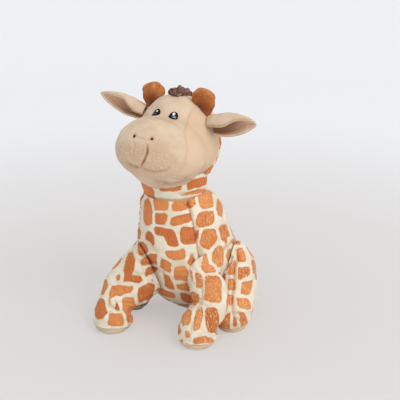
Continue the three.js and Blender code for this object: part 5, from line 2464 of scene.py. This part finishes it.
@dataclass(frozen=True)
class Leg:
    """A stuffed leg: a printed cover, a beige sole and the filling.

    Attributes:
        name: the leg's name, which is its body's too.
        side: which side of the toy.
        knots: its middle line, from the root to under the foot, in mm.
        half_width: half widths at equal steps.
        half_depth: half depths at equal steps.
        patches: the print that the photograph shows on it.
        seed: picks the rest of the print and the lumps.
        nap: how much the pile's streaks and their painted sheen show.
        level: whether its rings stay level.
        sole: height of the sole's seam.
        cloth: thickness of the plush.
        rows: rows of its grid.
        columns: columns of its grid.
        root_end: share of a foreleg within which it leaves the torso.
        cuff: on a foreleg, where the cover starts to turn with the leg, and where it fully does.
        swell: mm by which the thigh is fuller on its inner side.
        flare: mm by which the root spreads over the torso.
        spread: the way in which it spreads most.
    """

    name: str
    side: Side
    knots: tuple[tuple[float, float, float], ...]
    half_width: Numbers
    half_depth: Numbers
    patches: tuple[Patch, ...]
    seed: int
    nap: float
    level: bool = False
    sole: float = 4.8
    cloth: float = 1.4
    rows: int = 170
    columns: int = 132
    root_end: float = 0.4
    cuff: tuple[tuple[float, ...], ...] = ()
    swell: float = 0.0
    flare: float = 6.0
    spread: Point = (0.5, 0.5, 0.7)

    @property
    def caps(self) -> int:
        """Rows that close a foreleg's root, on the torso."""
        return 0 if self.level else self.rows // 10

    def share(self, points: Array) -> Array:
        """How far points of the cover turn with the leg: t^2 (3 - 2t) along the cuff.

        Args:
            points: places in mm.

        Returns:
            Shares from 0 to 1.
        """
        if not self.cuff:
            return np.ones(points.shape[:-1])
        start, end = np.array(self.cuff)
        t = np.clip((points - start) @ (end - start) / np.sum((end - start) ** 2), 0, 1)
        return t * t * (3 - 2 * t)

    def clear(self, points: Array, clearance: Union[float, Array], sewn: bool = True) -> Array:
        """Points moved clear of the torso over the leg's swing; the sewn cover bends at its cuff."""
        share = self.share(points) if sewn else 1.0
        return swept_clear(points, self.name, lambda p: TORSO.push_out(p, clearance), share=share)

    def layer(self, skin: Skin, depth: float) -> Array:
        """The skin at a depth inside its cloth, clear of the torso and flat on the ground.

        A foreleg's cloth thins out towards its root, so that the root lies close on the torso.

        Args:
            skin: the cover.
            depth: mm inside its outer face.

        Returns:
            Places in mm.
        """
        thin, clearance = np.full(skin.relief.shape, depth), 1.0 + depth
        if self.caps:
            down = downward(skin.points[self.caps:], self.caps + 1)
            thin *= 0.12 + 0.88 * smooth_step(down, 0.5, 6.0)
            outward = unit((skin.points - [0.0, TORSO.middles[2], 0.0]) * [1.0, 1.0, 0.0])
            towards = smooth_step(-np.sum(skin.normals * outward, axis=-1), -0.2, 0.4)
            clearance = (0.15 + 0.3 * smooth_step(down, 1.0, 5.0)
                         + towards * thin - (1 - towards) * min(depth, 0.1))
            clearance[:self.caps] = 0.05 + thin[:self.caps]
        points = self.clear(skin.points + skin.normals * (skin.relief - thin)[..., None], clearance)
        points[..., 2] = np.maximum(points[..., 2], ABOVE_GROUND + 0.8 * depth)
        return points

    def rings(self, rows: int, columns: int, grow: float, clearance: float, sewn: bool = True) -> Array:
        """The leg's rings; a foreleg is cut off along the line where it comes out of the torso.

        Close rings are followed down from the root, column by column, to the last point that the torso
        would push away over the leg's swing. The rows are shared out from there to the foot, and a few
        more draw the cut together to its middle, lying on the torso.

        Args:
            rows: number of rings.
            columns: points in a ring.
            grow: mm added to the half sizes.
            clearance: mm kept from the torso.
            sewn: whether the rings are of the cover, whose root is sewn to the torso and spreads on it.

        Returns:
            Points with shape (rows, columns, 3), clear of the torso.
        """
        route = Route(self.knots)
        if self.level:
            whole = ellipse_rings(route, self.half_width, self.half_depth, rows, columns, level=True,
                                  grow=grow)
            return self.clear(whole, clearance)
        close, caps = 900, rows // 10
        fine = ellipse_rings(route, self.half_width, self.half_depth, close, columns, grow=grow)
        t = (1 - np.cos(np.pi * (np.arange(close) + 0.5) / close))[:, None] / 2
        inner_side = np.clip(-self.side.value * np.cos(2 * np.pi * np.arange(columns) / columns), 0, 1) ** 1.5
        fuller = self.swell * np.exp(-(((t - 0.3) / 0.2) ** 2)) * inner_side
        fine = fine + np.array([-0.84 * self.side.value, 0.15, -0.5]) * fuller[..., None]
        held = np.linalg.norm(self.clear(fine, clearance, sewn) - fine, axis=-1) > 0.02
        held[int(self.root_end * close):] = False
        cut = close - 1 - np.argmax(held[::-1], axis=0).astype(float)
        wide = np.concatenate([cut[-4:], cut, cut[:4]])
        cut = np.convolve(wide, np.full(9, 1 / 9), mode="valid")
        share = np.linspace(0, 1, rows - caps)[:, None]
        at = cut + (close - 1 - cut) * share
        low = np.clip(np.floor(at).astype(int), 0, close - 2)
        part = (at - low)[..., None]
        column = np.arange(columns)[None, :]
        sides = fine[low, column] * (1 - part) + fine[low + 1, column] * part
        if sewn:
            down = downward(sides)
            away = sides[0] - sides[0].mean(axis=0)
            facing = unit(np.cross(away, np.roll(away, -1, axis=0)).sum(axis=0))
            way = unit(away - (away @ facing)[:, None] * facing)
            upward = np.clip(0.4 + 0.6 * (way @ unit(np.array(self.spread))), 0.2, 1)
            spread = self.flare * upward * np.clip(1 - down / (2.2 * self.flare), 0, 1) ** 2
            sides = self.clear(sides + way * spread[..., None], clearance)
        drawn = np.linspace(0.08, 0.97, caps)[:, None, None]
        middle = sides[0].mean(axis=0)
        return np.concatenate([self.clear(middle + (sides[0] - middle) * drawn, clearance, sewn), sides])

    def gathers(self, skin: Skin, turn: Array) -> None:
        """Draws a foreleg in at its root seam, with gathers that fade within a few mm down the leg.

        Their height is 0.7 cos(13 turn + noise) (exp(-d / 6) - exp(-d / 1.2)), d being the distance
        down from the seam.

        Args:
            skin: the cover.
            turn: its columns' angles in radians.
        """
        caps = self.caps
        down = downward(skin.points[caps:])
        fold = np.cos(13 * turn[None, :] + 2.4 * lattice_noise(skin.points[caps:], 8.0, self.seed + 3))
        skin.relief[caps:] *= smooth_step(down, 0.0, 4.0)
        skin.relief[caps:] += 0.7 * fold * (np.exp(-down / 6.0) - np.exp(-down / 1.2))
        skin.values["shade"][caps:] += 0.25 * np.clip(-fold, 0, 1) * np.exp(-down / 3.0)
        skin.relief[:caps] = 0.0

    def hang(self, piece: Thing) -> None:
        """Bakes a foreleg's piece in place, on no body; a hind leg's rides the leg.

        Args:
            piece: the mesh object.
        """
        if self.cuff:
            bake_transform(piece)
        else:
            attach(piece, self.name)

    def build(self) -> None:
        """Makes the cover, the sole and the filling."""
        smooth = self.rings(self.rows, self.columns, grow=0.0, clearance=0.5)
        held = (smooth[..., 2] < self.sole + 1.0).astype(float)
        held[:self.caps + 12 if self.caps else 1] = 1.0
        skin = Skin(Stuffing(slack=0.05, cap=2.0).settled(smooth, True, held), True)
        skin.lumps(seed=self.seed, large=0.8, small=0.42)
        height = skin.points[..., 2]
        skin.relief += 0.5 * np.exp(-(((height - 1.8) / 1.6) ** 2))
        skin.groove(height - self.sole, depth=0.4, width=0.6)
        for line in LEG_CREASES[self.name]:
            skin.crease(line)
        turn = 2 * np.pi * np.arange(self.columns) / self.columns
        inner_side = np.pi if self.side is Side.LEFT else 0.0
        apart = np.abs((turn - inner_side + np.pi) % (2 * np.pi) - np.pi)[None, :] * min(self.half_width)
        skin.seam(apart + 0 * height, height, depth=0.8)
        if not self.level:
            self.gathers(skin, turn)
        PRINT.paint(skin, self.patches, self.seed, self.nap)
        skin.values["print"] = np.minimum(skin.values["print"], height - self.sole - 0.5)
        outer, inner = self.layer(skin, 0.0), self.layer(skin, self.cloth)
        split = self.rows - 1 - int(np.argmax(height.mean(axis=1)[::-1] > self.sole))
        above = slice(split + 2)
        cover = shell(f"{self.name}_cover_sewn", outer[above], inner[above], rows_of(skin.values, above),
                      closed=True, poles=(True, False))
        dress(cover, Dye.PRINTED, f"{self.name}_cover")
        self.hang(cover)
        foot = outer[split + 1:]
        seam = outer[split + 1]
        foot = np.concatenate([(seam + 0.15 * (foot.mean(axis=(0, 1)) - seam))[None], foot])
        sole = closed_form(f"{self.name}_sole_sewn", foot, blank(foot, ("shade", "warm", "curl")))
        dress(sole, Dye.BEIGE, f"{self.name}_sole")
        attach(sole, self.name)
        core = self.rings(rows=44, columns=48, grow=-3.3, clearance=3.6, sewn=False)
        core[..., 2] = np.maximum(core[..., 2], self.sole + 0.6)
        filling = closed_form(f"{self.name}_fibre", core, blank(core))
        dress(filling, Dye.FIBRE, f"{self.name}_stuffing")
        self.hang(filling)


def torso_spot(degrees: float, height: float) -> tuple[Array, Array]:
    """A point of the torso's smooth form and its normal.

    Args:
        degrees: from the front towards the left.
        height: mm.

    Returns:
        The point and the normal there.
    """
    a, small = np.radians(degrees), 0.01
    at = [TORSO.points(np.array(x), np.array(z)) for x, z in
          ((a, height), (a + small, height), (a - small, height), (a, height + small), (a, height - small))]
    return at[0], unit(np.cross(at[1] - at[2], at[3] - at[4]))


def forelegs() -> tuple[Leg, ...]:
    """The two forelegs, which stand where the toy was set down."""
    legs = []
    shoulder_height, sunk, cuff_ways = 57.0, 14.0, (-2.0, 18.0)
    for side, turn, knee, foot, wide, deep, nap, swell, flare, spread in (
        (Side.LEFT, 55.0, (39.0, -60.0, 31.0), (33.5, -68.5),
         (12, 12.3, 12.3, 14, 15.5), (13, 12.5, 12.3, 15, 17.5), 1.0, 1.0, 5.5, (0.5, 0.5, 0.7)),
        (Side.RIGHT, 40.0, (33.0, -68.0, 30.0), (35.5, -78.0),
         (17, 14.5, 12.5, 14, 15.5), (17, 15.5, 13, 15, 17.5), 0.35, 7.0, 9.0, (0.85, -0.45, 0.25)),
    ):
        s = side.value
        shoulder, normal = torso_spot(s * turn, shoulder_height)
        root = shoulder - sunk * normal
        knots = (tuple(root), (s * knee[0], knee[1], knee[2]), (s * foot[0], foot[1], 13.0),
                 (s * foot[0], foot[1], -0.5))
        down = unit(np.array(knots[1]) - shoulder)
        patches = FORELEG_PATCHES[side] + BELLY_PATCHES + SIDE_PATCHES
        cuff = tuple(tuple(shoulder + way * down) for way in cuff_ways)
        legs.append(Leg(f"foreleg_{side.label}", side, knots, wide, deep, patches, seed=101 + s, nap=nap,
                        swell=swell, cuff=cuff, flare=flare, spread=spread))
    return tuple(legs)


def hindlegs() -> tuple[Leg, ...]:
    """The two hind legs, folded beside the rump."""
    legs = []
    for side, foot in ((Side.LEFT, (43.0, -31.0)), (Side.RIGHT, (44.0, -36.0))):
        s = side.value
        knots = ((s * 33.0, -12.0, 60.0), (s * 36.5, -15.0, 36.0), (s * foot[0], foot[1], 13.0),
                 (s * foot[0], foot[1], -0.5))
        legs.append(Leg(f"hindleg_{side.label}", side, knots, half_width=(9, 13.5, 14.5, 12.5, 12.5),
                        half_depth=(13, 21, 23, 17, 15.5), patches=HINDLEG_PATCHES[side] + SIDE_PATCHES,
                        seed=111 + s, nap=1.0, level=True))
    return tuple(legs)


def under_legs(points: Array) -> Array:
    """One where the torso's cover lies under a leg, which holds it, and zero elsewhere.

    Args:
        points: the cover's grid in mm.

    Returns:
        Values with the grid's shape.
    """
    held = np.zeros(points.shape[:2])
    for leg in (*forelegs(), *hindlegs()):
        line = Route(leg.knots).points(np.linspace(0, 1, 30))
        reach = 19.0 if leg.level else 12.0
        away = np.min([np.linalg.norm((points - at) * [1.0, 0.65 if leg.level else 1.0, 1.0], axis=-1)
                       for at in line], axis=0)
        held = np.maximum(held, (away < reach).astype(float))
    return held


# Shaggy pieces


def strands(name: str, roots: Array, ways: Array, lengths: Array, radius: float, seed: int,
            curl: float, sides: int = 4, taper: float = 0.75) -> Thing:
    """Many short tapered strands in one mesh.

    Each is a tube along root + way * s + a sideways turn of growing width, and its radius falls as
    1 - taper s^1.5.

    Args:
        name: the object's name.
        roots: shape (n, 3), in mm.
        ways: unit directions, shape (n, 3).
        lengths: mm, shape (n,).
        radius: mm at the root.
        seed: picks the curls.
        curl: width of the sideways turn, as a share of the length.
        sides: sides of a tube.
        taper: share of the radius that the tip has lost.

    Returns:
        The object.
    """
    rng = np.random.default_rng(seed)
    n, rings = len(roots), sides + 2
    t = np.linspace(0, 1, rings)
    side = unit(np.cross(ways, rng.normal(size=(n, 3))))
    other = np.cross(ways, side)
    phase = rng.uniform(0, 2 * np.pi, n)
    swing = curl * lengths[:, None] * t**1.3 * np.sin(phase[:, None] + 3.4 * t)
    turn_off = curl * lengths[:, None] * t**1.3 * np.cos(phase[:, None] + 3.4 * t) * (sides > 4)
    middle = (roots[:, None] + ways[:, None] * (lengths[:, None] * t)[..., None]
              + side[:, None] * swing[..., None] + other[:, None] * turn_off[..., None])
    turn = 2 * np.pi * np.arange(sides) / sides
    size = radius * (1 - taper * t**1.5)
    ring = side[:, None, None] * np.cos(turn)[:, None] + other[:, None, None] * np.sin(turn)[:, None]
    points = middle[:, :, None] + ring * size[:, None, None]
    tips = middle[:, -1:] + ways[:, None] * radius
    starts = middle[:, :1]
    block = np.concatenate([points.reshape(n, -1, 3), starts, tips], axis=1)
    per = rings * sides + 2
    first = np.arange(n)[:, None, None] * per
    quads = (quad_faces(rings, sides, True)[None] + first).reshape(-1, 4)
    caps = np.vstack([fan(sides, 0, rings * sides, False),
                      fan(sides, (rings - 1) * sides, rings * sides + 1, True)])
    triangles = (caps[None] + first).reshape(-1, 3)
    along = np.concatenate([np.repeat(t, sides), [0.0, 1.0]])
    values = {"along": np.tile(along, n), "strand": np.repeat(rng.random(n), per)}
    return mesh_object(name, block.reshape(-1, 3), quads, triangles, values)


def join_meshes(first: Thing, second: Thing) -> Thing:
    """Two meshes as one object, the first.

    Args:
        first: the one that stays.
        second: the one that joins it.

    Returns:
        The first.
    """
    with bpy.context.temp_override(active_object=first, selected_editable_objects=[first, second],
                                   object=first, selected_objects=[first, second]):
        bpy.ops.object.join()
    return first


@dataclass(frozen=True)
class Mane:
    """The tuft at the crown and the strip of shaggy plush down the back of the head.

    Attributes:
        width: mm across the tuft.
        tuft: polar degrees at which the tuft starts and ends.
        strip: polar degrees at which the strip starts and ends.
        tuft_height: how high the tuft's lump stands.
        strip_height: the same for the strip.
    """

    width: float = 9.8
    tuft: tuple[float, float] = (99.5, 124.0)
    strip: tuple[float, float] = (124.5, 166.0)
    tuft_height: float = 2.2
    strip_height: float = 2.6

    def mound(self, span: tuple[float, float], height: float, rows: int, columns: int) -> Array:
        """A mound on the head's middle line: a flattened dome, with its edge inside the cloth.

        Args:
            span: polar degrees at which it starts and ends.
            height: mm that it stands up.
            rows: number of rings.
            columns: points in a ring.

        Returns:
            Points with shape (rows, columns, 3).
        """
        low, high = span
        along = np.linspace(-1, 1, rows)[:, None]
        round_ = full_turn(columns)[None, :]
        wide = np.sqrt(np.clip(1 - np.abs(along) ** 3, 0, 1)) ** 1.2
        polar = np.radians(low + (high - low) * (along + 1) / 2) + 0 * round_
        side = self.width / 2 * wide * np.cos(round_)
        rise = height * wide * np.sin(round_)
        head_radius = 33.0
        d = HEAD.directions(polar, side / head_radius)
        return HEAD.at(d, HEAD.reach(d) + 0.4 + np.maximum(rise, -0.3))

    def build_part(self, node: str, span: tuple[float, float], height: float, count: int, length: float,
                   lump: float, seed: int, every: int, thick: float) -> None:
        """Makes one mound with its strands and locks.

        Args:
            node: the node that it stands for.
            span: polar degrees at which it starts and ends.
            height: mm that its mound stands up.
            count: number of strands.
            length: mm of a strand.
            lump: mm that the mound is lumpy by.
            seed: picks the lumps and the strands.
            every: one root in so many carries a thick lock as well.
            thick: radius of a lock in mm.
        """
        rows, columns = 64, 56
        points = self.mound(span, height, rows, columns)
        normals = grid_normals(points, closed=True)
        normals *= np.sign(np.sum(normals * (points - points.mean(axis=1, keepdims=True)), axis=-1,
                                  keepdims=True)) + 1e-9
        top = smooth_step(np.sin(full_turn(columns)), -0.1, 0.4)[None, :]
        points = points + normals * (top * lump * (0.4 + lattice_noise(points, 3.4, seed)))[..., None]
        clump = np.clip(0.5 + 0.5 * lattice_noise(points, 2.2, seed + 1), 0, 1)
        values = {"along": 0.55 * clump * top, "strand": 0.6 * clump}
        body = closed_form(f"{node}_pile", points, values)
        rng = np.random.default_rng(seed)
        rows_at = rng.integers(3, rows - 3, count)
        columns_at = np.round(rng.uniform(0.04, 0.46, count) * columns).astype(int)
        roots = points[rows_at, columns_at]
        flow = np.array([0.0, 0.55, -0.1])
        clumps = unit(np.stack([lattice_noise(roots, 4.0, seed + k) for k in (3, 4, 5)], axis=-1))
        outward = normals[rows_at, columns_at]
        ways = unit(0.8 * outward + flow + 0.75 * clumps + 0.3 * rng.normal(size=(count, 3)))
        lengths = length * rng.uniform(0.55, 1.1, count)
        hair = strands(f"{node}_strands", roots - 0.5 * ways, ways, lengths, radius=0.5, seed=seed, curl=0.5)
        few = slice(0, count, every)
        lying = unit(ways[few] - 0.95 * outward[few])
        lock_lengths = 2.0 * thick * rng.uniform(0.8, 1.2, len(lying))
        locks = strands(f"{node}_locks", roots[few] - 0.9 * lying, lying, lock_lengths, radius=thick,
                        seed=seed + 9, curl=0.5, sides=10, taper=0.4)
        piece = join_meshes(join_meshes(body, hair), locks)
        dress(piece, Dye.MANE, node)
        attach(piece, "head")

    def build(self) -> None:
        """Makes the tuft and the strip."""
        self.build_part("mane_tuft", self.tuft, self.tuft_height, count=220, length=1.0, lump=1.6,
                        seed=201, every=7, thick=1.8)
        self.build_part("mane_strip", self.strip, self.strip_height, count=640, length=1.9, lump=0.9,
                        seed=211, every=12, thick=1.3)


@dataclass(frozen=True)
class Tail:
    """A plush cord with a shaggy tuft.

    Attributes:
        root_height: height of its root on the back seam.
        radius: of the cord, in mm.
        length: mm.
        tuft_length: mm.
        tuft_radius: mm.
    """

    root_height: float = 34.0
    radius: float = 2.6
    length: float = 34.0
    tuft_length: float = 14.0
    tuft_radius: float = 5.0

    def build(self) -> None:
        """Makes the cord and its tuft."""
        root, axis = torso_spot(180.0, self.root_height)
        start = root - 2 * axis
        bend = root + axis * self.length * 0.2 - [0, 0, self.length * 0.1]
        end = bend + [0, self.length * 0.16, -self.length * 0.36]
        route = Route(np.stack([start, bend, end]))
        thick = (self.radius * 1.3, self.radius, self.radius)
        skin = Skin(ellipse_rings(route, thick, thick, rows=64, columns=40), closed=True)
        skin.lumps(seed=221, large=0.25, small=0.2)
        PRINT.paint(skin, (), seed=222, nap=0.5)
        points = swept_clear(skin.outer(), "tail", lambda p: TORSO.push_out(p, 1.1))
        cord = closed_form("tail_cord_sewn", points, skin.values)
        dress(cord, Dye.PRINTED, "tail_cord")
        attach(cord, "tail")
        down = route.tangents(np.array([1.0]))[0]
        first = end + 0.2 * down
        last = first + self.tuft_length * down
        line = Route(np.stack([first, (first + last) / 2, last]))
        size = np.array([0.5, 0.8, 0.35]) * self.tuft_radius
        rows, columns, count = 40, 36, 420
        rings = ellipse_rings(line, size, size, rows, columns, bluntness=2.5)
        normals = grid_normals(rings, closed=True)
        rings = rings + normals * (0.7 * lattice_noise(rings, cell=2.6, seed=223))[..., None]
        clump = np.clip(0.5 + 0.5 * lattice_noise(rings, cell=2.2, seed=224), 0, 1)
        body = closed_form("tail_tuft_pile", rings, {"along": 0.5 * clump, "strand": 0.6 * clump})
        rng = np.random.default_rng(225)
        rows_at, columns_at = rng.integers(1, rows - 6, count), rng.integers(0, columns, count)
        roots = rings[rows_at, columns_at]
        ways = unit(0.7 * normals[rows_at, columns_at] + 1.1 * down + 0.3 * rng.normal(size=(count, 3)))
        lengths = rng.uniform(2.5, 4.5, count)
        hair = strands("tail_tuft_strands", roots - 0.4 * ways, ways, lengths, radius=0.36, seed=226,
                       curl=0.2)
        piece = join_meshes(body, hair)
        piece.data.transform(piece.matrix_world)
        dress(piece, Dye.MANE, "tail_tuft")
        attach(piece, "tail")


# Studio


@dataclass(frozen=True)
class Studio:
    """A pale floor that curves up into the backdrop, and soft lamps.

    Attributes:
        floor: radius of the flat floor in mm.
        bend: radius of the curve up from it.
        wall: height of the backdrop above the curve.
        near: the floor's colour by the toy, painted darker there as shade.
        far: the backdrop's colour, lighter than by the toy; the change between them is painted shade.
        lift: how much the camera sees of the plain colour instead of its shading.
        world: strength of the surrounding light.
        key: power of the large lamp in watts.
        key_place: where it stands, in mm.
        key_size: its width in mm.
    """

    floor: float = 900.0
    bend: float = 500.0
    wall: float = 500.0
    near: Numbers = linear(225, 221, 218)
    far: Numbers = linear(246, 247, 249)
    lift: float = 0.62
    world: float = 0.69
    key: float = 12.0
    key_place: Point = (1150.0, -500.0, 1250.0)
    key_size: float = 900.0

    def build_floor(self) -> None:
        """Makes the floor and backdrop as one surface of revolution."""
        columns = 160
        bend = np.linspace(0, np.pi / 2, 24)
        radius = np.concatenate([[0.5, 120, 300, 600], self.floor + self.bend * np.sin(bend),
                                 [self.floor + self.bend]])
        height = np.concatenate([[0, 0, 0, 0], self.bend * (1 - np.cos(bend)), [self.bend + self.wall]])
        angle = full_turn(columns)
        points = np.stack([radius[:, None] * np.cos(angle), radius[:, None] * np.sin(angle),
                           height[:, None] + 0 * angle], axis=-1)
        n = points.shape[0] * columns
        flat = np.vstack([points.reshape(-1, 3), [[0.0, 0.0, 0.0]]])
        quads = quad_faces(points.shape[0], columns, True)[:, ::-1]
        floor = mesh_object("studio_floor", flat, quads, fan(columns, 0, n, True))
        nodes = Nodes("studio_floor")
        ground = nodes.add("ShaderNodeVectorMath", operation="LENGTH")
        nodes.feed(ground.inputs[0], nodes.add("ShaderNodeTexCoord").outputs["Object"])
        # Painted shade: the floor is darker by the toy and lightens out to the backdrop.
        pale = nodes.mix(nodes.step(ground.outputs["Value"], 0.06, 0.72), self.near, self.far)
        nodes.feed(nodes.shader.inputs["Base Color"], pale)
        nodes.shader.inputs["Roughness"].default_value = 0.9
        nodes.shader.inputs["Specular IOR Level"].default_value = 0.1
        glow = nodes.add("ShaderNodeEmission")
        nodes.feed(glow.inputs["Color"], pale)
        path = nodes.add("ShaderNodeLightPath")
        seen = nodes.math("ADD", path.outputs["Is Camera Ray"], path.outputs["Is Glossy Ray"])
        seen = nodes.math("ADD", seen, path.outputs["Is Transmission Ray"], clamp=True)
        share = nodes.math("MULTIPLY", seen, self.lift)
        blend = nodes.add("ShaderNodeMixShader")
        nodes.feed(blend.inputs[0], share)
        nodes.feed(blend.inputs[1], nodes.shader.outputs[0])
        nodes.feed(blend.inputs[2], glow.outputs[0])
        nodes.feed(nodes.output.inputs["Surface"], blend.outputs[0])
        floor.data.materials.append(nodes.material)

    def build_lights(self) -> None:
        """Makes the surrounding light and the lamp up on the right."""
        world = bpy.data.worlds.new("studio")
        world.use_nodes = True
        background = world.node_tree.nodes["Background"]
        background.inputs["Color"].default_value = linear(247, 249, 255)
        background.inputs["Strength"].default_value = self.world
        bpy.context.scene.world = world
        lamp = bpy.data.lights.new("key", "AREA")
        lamp.shape = "DISK"
        lamp.size = self.key_size * MM
        lamp.energy = self.key
        lamp.color = (1.0, 0.985, 0.96)
        thing = bpy.data.objects.new("key", lamp)
        bpy.context.scene.collection.objects.link(thing)
        thing.location = Vector(self.key_place) * MM
        aim = Vector(CAMERA.target) * MM - thing.location
        thing.rotation_mode = "QUATERNION"
        thing.rotation_quaternion = aim.to_track_quat("-Z", "Y")

    def build(self) -> None:
        """Makes the floor and the lights, and sets plain colours for the view."""
        self.build_floor()
        self.build_lights()
        bpy.context.scene.view_settings.view_transform = "Standard"


def main() -> None:
    """Builds the toy from the seat up, then the studio."""
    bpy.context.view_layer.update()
    CAMERA.make()
    Torso().build()
    Neck().build()
    Head().build()
    for ear in ears():
        Horn(ear.side).build()
        ear.build()
    for leg in (*forelegs(), *hindlegs()):
        leg.build()
    Mane().build()
    Tail().build()
    Studio().build()


if __name__ == "__main__":
    main()
